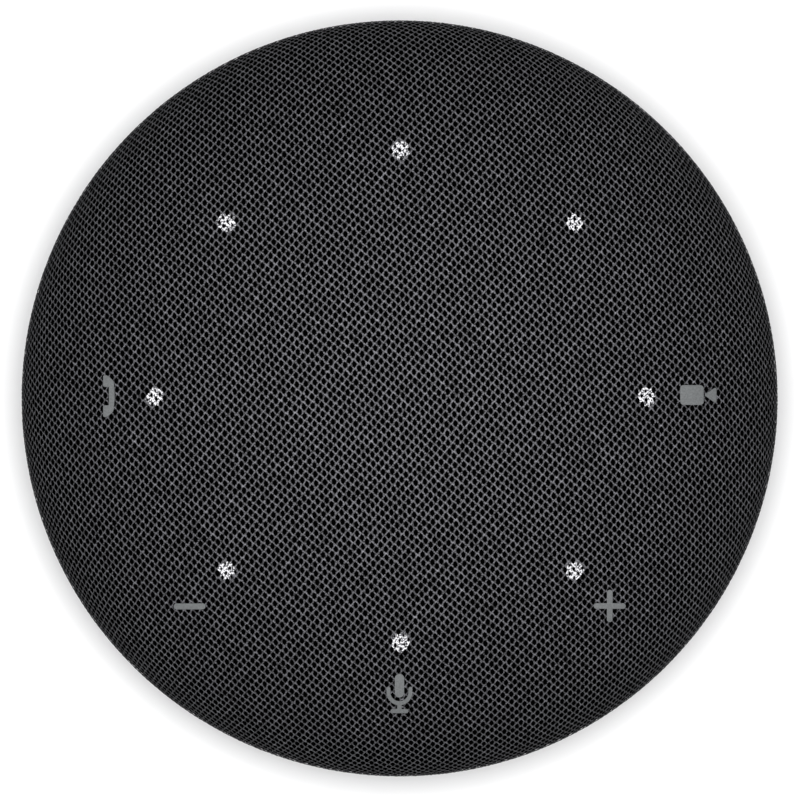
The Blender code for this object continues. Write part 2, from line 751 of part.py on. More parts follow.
def make_basket(finish, floor_z):
    """A pressed frame: a floor on the top plate, a sloping wall with four windows, and a flange."""
    flange_top = BASKET_FLANGE_Z + BASKET_THICKNESS
    rim_inner_r = SURROUND_OUTER_R - BASKET_WALL / 3
    floor_top = floor_z + BASKET_FLOOR_THICKNESS
    outline = [
        (BASKET_FLOOR_R, floor_z),
        (BASKET_CORNER_R, floor_z),
        (rim_inner_r + BASKET_WALL, BASKET_FLANGE_Z),
        (BOX_R, BASKET_FLANGE_Z),
        (BOX_R, flange_top),
        (rim_inner_r, flange_top),
        (BASKET_CORNER_R - BASKET_WALL, floor_top),
        (BASKET_FLOOR_R, floor_top),
    ]
    basket = turned("driver_basket", outline, finish, SMALL_SIDES)
    place = (0, 0, floor_z + BASKET_WINDOW_RISE)
    along, across, tall = 2 * BOX_R, BASKET_WINDOW_WIDTH, BASKET_WINDOW_HEIGHT
    windows = [
        block("cut_window_x", (along, across, tall), place),
        block("cut_window_y", (across, along, tall), place),
    ]
    combine(basket, "DIFFERENCE", windows)
    return basket


def make_cone(finish):
    outline = [
        (CONE_INNER_R, CONE_BOTTOM_Z),
        (CONE_OUTER_R, CONE_EDGE_Z),
        (CONE_OUTER_R, CONE_EDGE_Z + CONE_THICKNESS),
        (CONE_INNER_R, CONE_BOTTOM_Z + CONE_THICKNESS),
    ]
    return turned("speaker_cone", outline, finish, SMALL_SIDES)


def make_dust_cap(finish):
    """A thin dome over the coil, just above the cone."""
    slope = (CONE_EDGE_Z - CONE_BOTTOM_Z) / (CONE_OUTER_R - CONE_INNER_R)
    foot_z = CONE_BOTTOM_Z + CONE_THICKNESS + slope * (DUST_CAP_R - CONE_INNER_R) + GAP
    thin = DUST_CAP_THICKNESS
    outer = arc((0, foot_z), (DUST_CAP_R, DUST_CAP_RISE), 90, 0, ARCH_STEPS)
    inner = arc((0, foot_z), (DUST_CAP_R - thin, DUST_CAP_RISE - thin), 0, 90, ARCH_STEPS)
    return turned("dust_cap", outer + inner, finish, SMALL_SIDES)


def make_surround(finish):
    """The half-round rubber roll between the cone's edge and the basket's flange."""
    inner_r = CONE_OUTER_R + GAP
    middle = (inner_r + SURROUND_OUTER_R) / 2
    half = (SURROUND_OUTER_R - inner_r) / 2
    base = (middle, BASKET_FLANGE_Z + BASKET_THICKNESS + GAP)
    outer = arc(base, (half, SURROUND_HEIGHT), 180, 0, ARCH_STEPS)
    thin = SURROUND_THICKNESS
    inner = arc(base, (half - thin, SURROUND_HEIGHT - thin), 0, 180, ARCH_STEPS)
    return turned("surround", outer + inner, finish, SMALL_SIDES)


def make_spider(finish):
    """The corrugated cloth disc that centres the coil: waves in section."""
    inner_r = COIL_OUTER_R + GAP
    steps = 4 * SPIDER_WAVES
    top = []
    for i in range(steps + 1):
        radius = inner_r + (SPIDER_OUTER_R - inner_r) * i / steps
        wave = math.sin(math.tau * SPIDER_WAVES * i / steps)
        top.append((radius, SPIDER_Z + SPIDER_WAVE_HEIGHT * wave))
    bottom = [(radius, z - SPIDER_THICKNESS) for radius, z in reversed(top)]
    return turned("spider", top + bottom, finish, SMALL_SIDES)


def make_loudspeaker(steel, ferrite, paper, rubber, cloth, copper, plastic):
    magnet_z = YOKE_BOTTOM_Z + YOKE_THICKNESS + GAP
    plate_z = magnet_z + MAGNET_HEIGHT + GAP
    yoke = [
        (0.0, YOKE_BOTTOM_Z),
        (YOKE_R, YOKE_BOTTOM_Z),
        (YOKE_R, YOKE_BOTTOM_Z + YOKE_THICKNESS),
        (POLE_R, YOKE_BOTTOM_Z + YOKE_THICKNESS),
        (POLE_R, POLE_TOP_Z),
        (0.0, POLE_TOP_Z),
    ]
    turned("driver_yoke", yoke, steel, SMALL_SIDES)
    ring("driver_magnet", MAGNET_INNER_R, MAGNET_OUTER_R, magnet_z, MAGNET_HEIGHT, ferrite)
    ring("driver_top_plate", PLATE_INNER_R, YOKE_R, plate_z, PLATE_THICKNESS, steel)
    make_basket(steel, plate_z + PLATE_THICKNESS + GAP)
    coil_height = COIL_TOP_Z - COIL_BOTTOM_Z
    ring("voice_coil", COIL_INNER_R, COIL_OUTER_R, COIL_BOTTOM_Z, coil_height, copper)
    make_cone(paper)
    make_dust_cap(paper)
    make_surround(rubber)
    make_spider(cloth)
    gasket_z = BASKET_FLANGE_Z + BASKET_THICKNESS + GAP
    ring(
        "driver_gasket",
        DRIVER_GASKET_INNER_R,
        DRIVER_GASKET_OUTER_R,
        gasket_z,
        DRIVER_GASKET_THICKNESS,
        rubber,
    )
    make_speaker_box(plastic)


def build():
    clear_scene()
    cloth = material("cloth", (0.045, 0.046, 0.048), 0.9)
    shell_plastic = material("shell_plastic", (0.012, 0.012, 0.013), 0.55)
    base_plastic = material("base_plastic", (0.03, 0.03, 0.032), 0.5)
    rubber = material("rubber", (0.02, 0.02, 0.021), 0.8)
    key_plastic = material("key_plastic", (0.015, 0.015, 0.016), 0.5)
    guide_plastic = material("guide_plastic", (0.85, 0.85, 0.87), 0.35)
    led_plastic = material("led_plastic", (0.9, 0.88, 0.7), 0.3)
    board_green = material("board_green", (0.02, 0.12, 0.05), 0.4)
    switch_metal = material("switch_metal", (0.6, 0.6, 0.6), 0.3, 1.0)
    plunger_plastic = material("plunger_plastic", (0.5, 0.45, 0.38), 0.5)
    steel = material("steel", (0.5, 0.5, 0.52), 0.35, 1.0)
    screw_steel = material("screw_steel", (0.08, 0.08, 0.085), 0.4, 1.0)
    black_can = material("black_can", (0.02, 0.02, 0.02), 0.8)
    ferrite = material("ferrite", (0.03, 0.03, 0.03), 0.6)
    paper = material("paper", (0.02, 0.02, 0.022), 0.85)
    spider_cloth = material("spider_cloth", (0.5, 0.32, 0.12), 0.9)
    copper = material("copper", (0.6, 0.25, 0.1), 0.35, 1.0)

    make_cloth(cloth)
    make_shell(shell_plastic)
    make_trim(base_plastic)
    make_housing(base_plastic)
    make_neck(base_plastic)
    make_bottom_cover(base_plastic)
    make_foot(rubber)
    make_gland(rubber)
    make_screws(screw_steel)
    make_keys(key_plastic, switch_metal, plunger_plastic)
    make_board(board_green)
    make_lights(led_plastic, guide_plastic)
    make_microphones(black_can, rubber)
    make_main_board(board_green)
    make_loudspeaker(steel, ferrite, paper, rubber, spider_cloth, copper, base_plastic)


build()
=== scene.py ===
"""The looks of the round conference speakerphone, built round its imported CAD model.

The cover is a real open knit: every mesh of it is a hole with threads round it, laid over the dome
as a flat disc of cloth would stretch over it. Units are metres, and +Z is up.
"""

import json
import math

import bmesh
import bpy
import numpy as np
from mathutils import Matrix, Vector
from mathutils.geometry import delaunay_2d_cdt


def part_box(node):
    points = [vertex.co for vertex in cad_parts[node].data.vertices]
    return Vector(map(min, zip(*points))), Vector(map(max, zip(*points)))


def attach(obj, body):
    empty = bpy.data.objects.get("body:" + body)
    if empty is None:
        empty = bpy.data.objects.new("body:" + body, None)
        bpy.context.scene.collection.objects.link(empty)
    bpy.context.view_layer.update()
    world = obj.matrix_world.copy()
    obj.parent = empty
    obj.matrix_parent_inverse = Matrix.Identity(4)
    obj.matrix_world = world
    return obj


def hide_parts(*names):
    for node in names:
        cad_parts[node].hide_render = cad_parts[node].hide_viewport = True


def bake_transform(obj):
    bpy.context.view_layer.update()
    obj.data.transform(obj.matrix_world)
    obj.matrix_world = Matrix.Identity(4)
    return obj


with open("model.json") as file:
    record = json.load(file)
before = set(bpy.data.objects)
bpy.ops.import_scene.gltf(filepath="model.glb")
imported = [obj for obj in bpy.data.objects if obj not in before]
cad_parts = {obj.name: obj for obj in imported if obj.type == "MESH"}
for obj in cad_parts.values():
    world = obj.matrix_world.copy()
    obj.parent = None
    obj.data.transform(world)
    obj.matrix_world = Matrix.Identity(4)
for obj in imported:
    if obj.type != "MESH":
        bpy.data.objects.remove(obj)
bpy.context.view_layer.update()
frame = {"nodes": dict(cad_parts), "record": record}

MM = 0.001
COLOURS = {entry["slot"]: entry["base_color"] for entry in frame["record"]["materials"]}

# ---------------------------------------------------------------- sizes

# The dome is the upper half of a flattened ellipsoid, and the cloth curls in under its rim.
COVER_LOW, COVER_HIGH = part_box("fabric_cover")
RADIUS = COVER_HIGH.x
CURL_DEPTH = 2.9 * MM
CURL_CENTRE_R = 45.2 * MM
CLOTH_EDGE_R = 43.6 * MM
EQUATOR_Z = COVER_LOW.z + CURL_DEPTH
DOME_RISE = COVER_HIGH.z - EQUATOR_Z
DOME_STEPS, CURL_STEPS, HEM_STEPS = 1500, 300, 50

# The knit: a square lattice of oval holes. Sizes inside a mesh are in meshes.
PITCH = 0.849 * MM
LATTICE_ANGLE = math.radians(50.7)
LATTICE_PHASE = np.array((0.139, 0.664))
HOLE_HALF_LENGTH = 0.576
HOLE_HALF_WIDTH = 0.350
HOLE_POINTEDNESS = 1.60                 # 2 is an ellipse, and 1 is a diamond
HOLE_LEAN = math.radians(43.0)          # of its long axis, from the lattice's first direction
HOLE_SIDES = 8
RIM_OPENING = 0.08                      # how much wider the stretched holes are at the cloth's edge
KNIT_DEPTH = 0.10 * MM                  # of the threads' middle below the cover's outside
# Heights above the threads' middle.
HOLE_EDGE_HEIGHT = -0.045 * MM
THREAD_HEIGHT = 0.02 * MM
CROSSING_HEIGHT = 0.055 * MM
DRIFT = 0.14                            # how far the rows wander from straight lines, in meshes
SHADE_FILM_DEPTH = 0.24 * MM                # of the black film of painted shade, below the cover's outside

# The yarn's own unevenness, as standard deviations.
KNIT_SEED = 7
HOLE_SHIFT = 0.018                      # in meshes
HOLE_SPREAD = 0.02                      # as a share of the hole's size
KNOT_SHIFT = 0.022                      # in meshes
HEIGHT_SPREAD = 0.008 * MM
TONE_SPREAD = 0.06
CROSSING_TONE_SPREAD = 1.2              # times as much where threads cross

# Painted light on the yarn: 0 is its painted shade, at the holes' edges, and 1 is it painted fully
# lit. Crossings get the most, a painted highlight.
CROSSING_PAINTED_LIGHT = 0.88
THREAD_PAINTED_LIGHT = 0.545
PAINTED_GLINT_SHARE = 0.014                    # of the crossings and threads that get a painted glint
PAINTED_GLINT_TONE = 0.7                       # how much paler the painted glint makes them
# A factor on the painted light, by the distance from the middle as a share of the cut's radius. It
# rises outward and ends in painted shade near the rim.
PAINTED_LIGHT_AT = (0.0, 0.4, 0.6, 0.79, 0.83)
PAINTED_LIGHT_FACTORS = (1.0, 1.026, 1.058, 1.09, 0.93)

# The keys' places come from their caps, and the lights' places from their guides.
KEYS = ("answer", "volume_down", "mute", "volume_up", "meeting")
LIGHT_COUNT = 8
WINDOW_R = 1.18 * MM
WINDOW_MARGIN = 0.55 * PITCH            # of the net that goes with a light, beyond its lit round
WINDOW_OPENING = (0.4, 0.75)            # how far a lit mesh stays open, of its usual size
WINDOW_SEED = 100
THREAD_GLOW = 0.85
HOLE_EDGE_GLOW = 0.45
INK_LOW = -0.02 * MM                    # from the cover's outside
INK_HIGH = 0.04 * MM
INK_CELL = 0.35 * MM                    # of the grid that lets the print bend
CRADLE_STEPS = 24
CRADLE_TIP_STEPS = 8

# The cells of a key's round of cloth come less than this far below the crown over the key.
GIVE_START = 0.40 * MM
KEY_REACH = 12 * MM                     # no part of a key's cloth is further from its middle

SIDES = 160                             # facets of the large round pieces
CORNER_STEPS = 5
SMALL_CORNER_STEPS = 3
SHARP_ANGLE = math.radians(32)
MERGE = 1e-6
SAME_POINT = 1e-9
TINY = 1e-20                            # keeps a division from failing
SCREW_COUNT = 4
SHANK_HOLE_R = 1.4 * MM
OVERLAP = 0.3 * MM                      # of a boss or post with the plate that it stands on

# The camera looks down, leaning by a degree. The picture is a little wider than the object.
CAMERA_HEIGHT = 4.0
CAMERA_LEAN = (-0.0069, -0.0149)        # to the side for each unit of height
VIEW_WIDTH = 105.665 * MM
VIEW_CENTRE = (0.046 * MM, -0.221 * MM)


# ---------------------------------------------------------------- small helpers


def span(node):
    """A turned CAD node's outer radius and its lowest and highest level."""
    low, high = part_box(node)
    return high.x, low.z, high.z


def plan_centre(node):
    """The middle of a CAD node in plan."""
    low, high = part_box(node)
    return (low.x + high.x) / 2, (low.y + high.y) / 2


def round_circle(radius, first, count):
    """Evenly spaced places in plan on a circle, from the angle first in degrees."""
    angles = [math.radians(first + 360 / count * i) for i in range(count)]
    return [(radius * math.cos(angle), radius * math.sin(angle)) for angle in angles]


def put(name, mesh, finish):
    """Link a finished mesh as a piece of the object, with its material."""
    piece = bpy.data.objects.new(name, mesh)
    bpy.context.scene.collection.objects.link(piece)
    mesh.materials.append(finish)
    return piece


def stand_in(piece, node):
    """The finished piece replaces this CAD node and moves with the casing."""
    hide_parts(node)
    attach(piece, "root")


def from_builder(builder, name):
    """The builder's mesh, smooth except at its sharp edges."""
    bmesh.ops.remove_doubles(builder, verts=builder.verts, dist=MERGE)
    bmesh.ops.recalc_face_normals(builder, faces=builder.faces)
    mesh = bpy.data.meshes.new(name)
    builder.to_mesh(mesh)
    builder.free()
    mesh.shade_smooth()
    mesh.set_sharp_from_angle(angle=SHARP_ANGLE)
    return mesh


def arc(centre, radius, first, turn, steps):
    """Points on an arc about the centre, from the angle first and on through turn."""
    x, y = centre
    angles = [first + turn * step / steps for step in range(steps + 1)]
    return [(x + radius * math.cos(angle), y + radius * math.sin(angle)) for angle in angles]


def rounded(corners, steps=CORNER_STEPS):
    """A closed outline of (x, y, radius) corners, with an arc wherever the radius isn't 0."""
    outline = []
    for i, (x, y, radius) in enumerate(corners):
        corner = Vector((x, y))
        if radius == 0:
            outline.append(tuple(corner))
            continue
        before = (Vector(corners[i - 1][:2]) - corner).normalized()
        after = (Vector(corners[(i + 1) % len(corners)][:2]) - corner).normalized()
        half = before.angle(after) / 2
        centre = corner + (before + after).normalized() * radius / math.sin(half)
        start = corner + before * radius / math.tan(half) - centre
        end = corner + after * radius / math.tan(half) - centre
        turn = start.angle_signed(end)
        outline += arc(centre, radius, math.atan2(start.y, start.x), -turn, steps)
    return outline


def turned_mesh(name, outline, sides=SIDES):
    """Turn a closed outline of (radius, height) about Z."""
    builder = bmesh.new()
    points = [builder.verts.new((max(radius, 0.0), 0, z)) for radius, z in outline]
    edges = []
    for i, point in enumerate(points):
        if max(points[i - 1].co.x, point.co.x) > MERGE:
            edges.append(builder.edges.new((points[i - 1], point)))
    bmesh.ops.spin(
        builder,
        geom=points + edges,
        cent=(0, 0, 0),
        axis=(0, 0, 1),
        angle=math.tau,
        steps=sides,
        use_merge=True,
    )
    return from_builder(builder, name)


def cutter(name, outline, place, sides=40):
    """A turned shape that is joined to a piece or cut from it."""
    made = bpy.data.objects.new(name, turned_mesh(name, outline, sides))
    bpy.context.scene.collection.objects.link(made)
    made.location = place
    return made


def cutters(name, outline, places):
    """The same turned shape at each of these places in plan."""
    return [cutter(f"{name}_{i}", outline, (x, y, 0)) for i, (x, y) in enumerate(places)]


def bar(radius, low, high):
    """The outline of a plain pin, from the axis out."""
    return [(0, low), (radius, low), (radius, high), (0, high)]


def combine(piece, operation, others):
    """Join the others to the piece, or cut them from it, for good."""
    for other in others:
        modifier = piece.modifiers.new(operation.lower(), "BOOLEAN")
        modifier.operation = operation
        modifier.solver = "EXACT"
        modifier.object = other
    bpy.context.view_layer.update()
    evaluated = piece.evaluated_get(bpy.context.evaluated_depsgraph_get())
    mesh = bpy.data.meshes.new_from_object(evaluated)
    piece.modifiers.clear()
    piece.data = mesh
    mesh.shade_smooth()
    mesh.set_sharp_from_angle(angle=SHARP_ANGLE)
    for other in others:
        bpy.data.objects.remove(other)


# ---------------------------------------------------------------- materials


# The yarn in painted shade and painted fully lit.
YARN_PAINTED_SHADE = (0.003, 0.003, 0.0032)
YARN_PAINTED_LIT = (0.0730, 0.0728, 0.0800)
# A black film under the knit: painted shade for the dark seen through its holes.
SHADE_FILM_BLACK = (0.00015, 0.00015, 0.00015)
INK_GREY = (0.0745, 0.0785, 0.080)
LIGHT_WHITE = (0.97, 0.97, 1.0)
BOARD_TRACK = (0.06, 0.24, 0.09)

# The cloth's finest marks, in features per metre.
FIBRE_SCALE = 4600.0
SPECKLE_SCALE = 4500.0
PATCH_SCALE = 420.0


def add(tree, kind, inputs=None, **settings):
    """A new node with these settings. An input value that is a socket is linked."""
    made = tree.nodes.new(kind)
    for name, value in settings.items():
        setattr(made, name, value)
    for name, value in (inputs or {}).items():
        if isinstance(value, bpy.types.NodeSocket):
            tree.links.new(value, made.inputs[name])
        else:
            made.inputs[name].default_value = value
    return made


def start_material(name, colour, roughness, metallic=0.0):
    """A new material, its nodes and its shader."""
    made = bpy.data.materials.new(name)
    made.use_nodes = True
    shader = made.node_tree.nodes["Principled BSDF"]
    shader.inputs["Base Color"].default_value = (*colour, 1.0)
    shader.inputs["Roughness"].default_value = roughness
    shader.inputs["Metallic"].default_value = metallic
    return made, made.node_tree, shader


def noise(tree, scale, detail=2.0, roughness=0.5, stretch=None):
    """Noise in the object's own space. The scale is in features per metre."""
    place = add(tree, "ShaderNodeTexCoord").outputs["Object"]
    if stretch:
        squeeze = {"Vector": place, "Scale": stretch}
        place = add(tree, "ShaderNodeMapping", squeeze).outputs["Vector"]
    values = {"Vector": place, "Scale": scale, "Detail": detail, "Roughness": roughness}
    return add(tree, "ShaderNodeTexNoise", values).outputs["Fac"]


def spread(tree, value, low, high, start=0.3, end=0.7):
    """The value moved from the range start..end to low..high."""
    values = {"Value": value, "From Min": start, "From Max": end, "To Min": low, "To Max": high}
    return add(tree, "ShaderNodeMapRange", values).outputs["Result"]


def math_node(tree, operation, first, second):
    made = add(tree, "ShaderNodeMath", operation=operation)
    for socket, value in zip(made.inputs, (first, second)):
        if isinstance(value, bpy.types.NodeSocket):
            tree.links.new(value, socket)
        else:
            socket.default_value = value
    return made.outputs["Value"]


def tint(tree, factor, dark, light, **settings):
    """A colour between two others."""
    made = add(tree, "ShaderNodeMix", data_type="RGBA", **settings)
    tree.links.new(factor, made.inputs["Factor"])
    colours = [socket for socket in made.inputs if socket.type == "RGBA"]
    colours[0].default_value = (*dark, 1.0)
    colours[1].default_value = (*light, 1.0)
    return [socket for socket in made.outputs if socket.type == "RGBA"][0]


def bump(tree, shader, height, depth, strength=0.6):
    """Relief of this depth in metres, in the surface's normals."""
    values = {"Height": height, "Distance": depth, "Strength": strength}
    made = add(tree, "ShaderNodeBump", values)
    tree.links.new(made.outputs["Normal"], shader.inputs["Normal"])


def scaled(colour, factor):
    return tuple(min(1.0, part * factor) for part in colour)


def moulded(name, colour, roughness=0.5, grain=2400.0, depth=0.02 * MM, gloss=0.5):
    """Moulded plastic or rubber with a fine eroded grain, worn a little glossier in patches."""
    made, tree, shader = start_material(name, colour, roughness)
    shader.inputs["Specular IOR Level"].default_value = gloss
    fine = noise(tree, grain, 3.0, 0.6)
    broad = noise(tree, 90.0, 3.0)
    shade = tint(tree, spread(tree, broad, 0, 1), scaled(colour, 0.8), scaled(colour, 1.25))
    tree.links.new(shade, shader.inputs["Base Color"])
    mixed = math_node(tree, "ADD", math_node(tree, "MULTIPLY", fine, 0.4), broad)
    rough = spread(tree, mixed, roughness - 0.08, roughness + 0.12, 0.5, 0.95)
    tree.links.new(rough, shader.inputs["Roughness"])
    bump(tree, shader, fine, depth)
    return made


def metal(name, colour, roughness=0.35, stretch=(1.0, 1.0, 6.0)):
    """Stamped or plated metal with fine drawing lines and light tarnish."""
    made, tree, shader = start_material(name, colour, roughness, 1.0)
    lines = noise(tree, 1800.0, 2.0, 0.5, stretch)
    stain = noise(tree, 260.0, 4.0)
    shade = tint(tree, spread(tree, stain, 0, 1), scaled(colour, 0.72), scaled(colour, 1.12))
    tree.links.new(shade, shader.inputs["Base Color"])
    rough = spread(tree, lines, roughness - 0.08, roughness + 0.14)
    tree.links.new(rough, shader.inputs["Roughness"])
    bump(tree, shader, lines, 0.006 * MM)
    return made


def circuit_board(name, colour):
    """Green solder mask with paler copper tracks under it."""
    made, tree, shader = start_material(name, colour, 0.35)
    place = add(tree, "ShaderNodeTexCoord").outputs["Object"]
    tracks = add(
        tree,
        "ShaderNodeTexBrick",
        {"Vector": place, "Scale": 420.0, "Mortar Size": 0.12, "Mortar Smooth": 0.4},
    ).outputs["Fac"]
    patches = spread(tree, noise(tree, 160.0, 1.0), 0, 1, 0.45, 0.55)
    mask = math_node(tree, "MULTIPLY", tracks, patches)
    shade = tint(tree, mask, colour, BOARD_TRACK)
    tree.links.new(shade, shader.inputs["Base Color"])
    bump(tree, shader, mask, 0.03 * MM)
    return made


def wound(name, colour):
    """Enamelled wire wound in close turns."""
    made, tree, shader = start_material(name, colour, 0.3, 1.0)
    place = add(tree, "ShaderNodeTexCoord").outputs["Object"]
    turns = add(
        tree,
        "ShaderNodeTexWave",
        {"Vector": place, "Scale": 900.0},
        wave_type="BANDS",
        bands_direction="Z",
    ).outputs["Fac"]
    shade = tint(tree, turns, scaled(colour, 0.45), colour)
    tree.links.new(shade, shader.inputs["Base Color"])
    bump(tree, shader, turns, 0.05 * MM)
    return made


def attribute(tree, name):
    """A number that the mesh keeps at each of its points."""
    return add(tree, "ShaderNodeAttribute", attribute_name=name).outputs["Fac"]


def knit_cloth(name, lit=False):
    """Polyester yarn, in painted shade at the holes' edges and with a painted highlight where threads
    cross. Over a light its threads also glow white.
    """
    made, tree, shader = start_material(name, YARN_PAINTED_LIT, 0.85)
    fibres = noise(tree, FIBRE_SCALE, 1.0)
    patches = spread(tree, noise(tree, PATCH_SCALE), -0.015, 0.015)
    # Painted shade and highlight from the threads' shape, with random tone, fibres and patches on top.
    factor = math_node(tree, "ADD", attribute(tree, "relief"), attribute(tree, "tone"))
    factor = math_node(tree, "ADD", factor, spread(tree, fibres, -0.6, 0.6))
    factor = math_node(tree, "MAXIMUM", math_node(tree, "ADD", factor, patches), 0.0)
    shade = tint(tree, factor, YARN_PAINTED_SHADE, YARN_PAINTED_LIT, clamp_factor=False)
    tree.links.new(shade, shader.inputs["Base Color"])
    shader.inputs["Sheen Weight"].default_value = 0.04
    shader.inputs["Specular IOR Level"].default_value = 0.2
    bump(tree, shader, fibres, 0.03 * MM, 0.5)
    if lit:
        ragged = math_node(tree, "ADD", attribute(tree, "away"), spread(tree, fibres, -0.15, 0.15))
        inside = spread(tree, ragged, 1.0, 0.0, 0.95, 1.08)
        blotches = spread(tree, noise(tree, SPECKLE_SCALE, 0.0), 0.0, 1.5, 0.42, 0.57)
        glow = math_node(tree, "MULTIPLY", attribute(tree, "glow"), blotches)
        strength = math_node(tree, "MULTIPLY", glow, inside)
        tree.links.new(strength, shader.inputs["Emission Strength"])
        shader.inputs["Emission Color"].default_value = (*LIGHT_WHITE, 1.0)
    return made


def printed_ink(name, colour):
    """Opaque grey ink, a little mottled where it crosses the knit."""
    made, tree, shader = start_material(name, colour, 0.6)
    mottle = noise(tree, SPECKLE_SCALE, 1.0)
    shade = tint(tree, spread(tree, mottle, 0, 1), scaled(colour, 0.85), scaled(colour, 1.15))
    tree.links.new(shade, shader.inputs["Base Color"])
    bump(tree, shader, mottle, 0.02 * MM, 0.3)
    return made


def coated_fibre(name, colour):
    """Pressed paper or dipped cloth, with short fibres in its surface."""
    made, tree, shader = start_material(name, colour, 0.85)
    fibres = noise(tree, 2200.0, 4.0, 0.7, (1.0, 3.0, 1.0))
    shade = tint(tree, spread(tree, fibres, 0, 1), scaled(colour, 0.7), scaled(colour, 1.35))
    tree.links.new(shade, shader.inputs["Base Color"])
    bump(tree, shader, fibres, 0.04 * MM)
    return made


MATERIALS = {
    "mesh_cloth": knit_cloth("mesh_cloth"),
    "shell_plastic": moulded("shell_plastic", COLOURS["shell_plastic"], 0.6),
    "base_plastic": moulded("base_plastic", COLOURS["base_plastic"], 0.5),
    "foot_rubber": moulded("foot_rubber", COLOURS["foot_rubber"], 0.8, 3200.0),
    "gland_rubber": moulded("gland_rubber", COLOURS["gland_rubber"], 0.7, 3200.0),
    "key_plastic": moulded("key_plastic", COLOURS["key_plastic"], 0.6),
    "light_guide": moulded("light_guide", COLOURS["light_guide"], 0.3, 900.0, 0.004 * MM),
    "led_package": moulded("led_package", COLOURS["led_package"], 0.3, 900.0, 0.004 * MM),
    "board_green": circuit_board("board_green", COLOURS["board_green"]),
    "switch_metal": metal("switch_metal", COLOURS["switch_metal"], 0.3),
    "plunger_plastic": moulded("plunger_plastic", COLOURS["plunger_plastic"], 0.5),
    "microphone_can": moulded("microphone_can", COLOURS["microphone_can"], 0.6),
    "screw_steel": metal("screw_steel", COLOURS["screw_steel"], 0.4, (1.0, 1.0, 1.0)),
    "speaker_box_plastic": moulded("speaker_box_plastic", COLOURS["speaker_box_plastic"], 0.5),
    "driver_steel": metal("driver_steel", COLOURS["driver_steel"], 0.35),
    "ferrite": coated_fibre("ferrite", COLOURS["ferrite"]),
    "cone_paper": coated_fibre("cone_paper", COLOURS["cone_paper"]),
    "coil_copper": wound("coil_copper", COLOURS["coil_copper"]),
    "surround_rubber": moulded("surround_rubber", COLOURS["surround_rubber"], 0.8),
    "spider_cloth": coated_fibre("spider_cloth", COLOURS["spider_cloth"]),
}
# The black film under the knit is painted shade in its holes.
SHADE_FILM = moulded("painted_shade_film", SHADE_FILM_BLACK, 0.9, gloss=0.0)
INK = printed_ink("icon_ink", INK_GREY)
LIT_CLOTH = knit_cloth("lit_cloth", lit=True)


# ---------------------------------------------------------------- places on the dome


def on_dome(x, y, height):
    """Places over plan points x, y, raised by height along the dome's normal."""
    share = np.minimum(np.hypot(x, y) / RADIUS, 1.0)
    rise = DOME_RISE * np.sqrt(1.0 - share * share)
    normal = np.stack((x / RADIUS**2, y / RADIUS**2, rise / DOME_RISE**2), -1)
    normal /= np.linalg.norm(normal, axis=-1, keepdims=True)
    place = np.stack((x, y, EQUATOR_Z + rise), -1)
    return place + normal * np.asarray(height)[..., None]


def meridian():
    """The cover from the pole to its edge: arc length, radius, height and the normal's parts."""
    dome = np.linspace(0, math.pi / 2, DOME_STEPS)
    curl = np.linspace(0, math.pi / 2, CURL_STEPS)[1:]
    hem = np.linspace(CURL_CENTRE_R, CLOTH_EDGE_R, HEM_STEPS)[1:]
    curl_r = CURL_CENTRE_R + (RADIUS - CURL_CENTRE_R) * np.cos(curl)
    low = EQUATOR_Z - CURL_DEPTH
    radius = np.concatenate((RADIUS * np.sin(dome), curl_r, hem))
    height = np.concatenate(
        (EQUATOR_Z + DOME_RISE * np.cos(dome), EQUATOR_Z - CURL_DEPTH * np.sin(curl), 0 * hem + low)
    )
    steps = np.hypot(np.diff(radius), np.diff(height))
    length = np.concatenate(([0.0], np.cumsum(steps)))
    outward, upward = -np.gradient(height, length), np.gradient(radius, length)
    return length, radius, height, outward, upward


MERIDIAN = meridian()
CUT_R = MERIDIAN[0][-1]                 # the radius of the flat disc that the cover is cut as


def over_dome(flat, height):
    """Where points of the flat cloth lie on the dome. Lengths along each meridian are kept."""
    length = np.hypot(flat[:, 0], flat[:, 1])
    direction = flat / np.maximum(length, MERGE)[:, None]
    lengths, radius, level, outward, upward = MERIDIAN
    reach = np.interp(length, lengths, radius) + height * np.interp(length, lengths, outward)
    z = np.interp(length, lengths, level) + height * np.interp(length, lengths, upward)
    return np.column_stack((direction * reach[:, None], z))


# ---------------------------------------------------------------- the knit


def hole_rim():
    """The rim of one hole about its middle, in meshes along the lattice's two directions."""
    # The corners start on the long axis less 45 degrees, which is nearly a row of the lattice.
    angle = np.linspace(0, math.tau, HOLE_SIDES, endpoint=False) + HOLE_LEAN - math.pi / 4
    along = np.abs(np.cos(angle - HOLE_LEAN) / HOLE_HALF_LENGTH) ** HOLE_POINTEDNESS
    across = np.abs(np.sin(angle - HOLE_LEAN) / HOLE_HALF_WIDTH) ** HOLE_POINTEDNESS
    reach = (along + across) ** (-1 / HOLE_POINTEDNESS)
    return np.column_stack((reach * np.cos(angle), reach * np.sin(angle)))


def wander(places):
    """A slow drift of the rows, as hand-stretched cloth has. The waves' lengths are in meshes."""
    x, y = places[:, 0], places[:, 1]
    shift_x = np.sin(x / 17 + y / 11) + np.sin(y / 6.3 - x / 23 + 1.0)
    shift_y = np.sin(y / 15 - x / 12 + 2.0) + np.sin(x / 7.1 + y / 19)
    return places + DRIFT / 2 * np.column_stack((shift_x, shift_y))


def mesh_of(name, places, faces):
    """A smooth mesh of these four-sided faces, and which of the places it uses."""
    used, renumbered = np.unique(faces, return_inverse=True)
    mesh = bpy.data.meshes.new(name)
    mesh.from_pydata(places[used].tolist(), [], renumbered.reshape(-1, 4).tolist())
    mesh.shade_smooth()
    return mesh, used


def store(mesh, used, **values):
    """Keep numbers at the mesh's points, for its material."""
    for name, numbers in values.items():
        layer = mesh.attributes.new(name, "FLOAT", "POINT")
        layer.data.foreach_set("value", numbers[used].astype(np.float32))


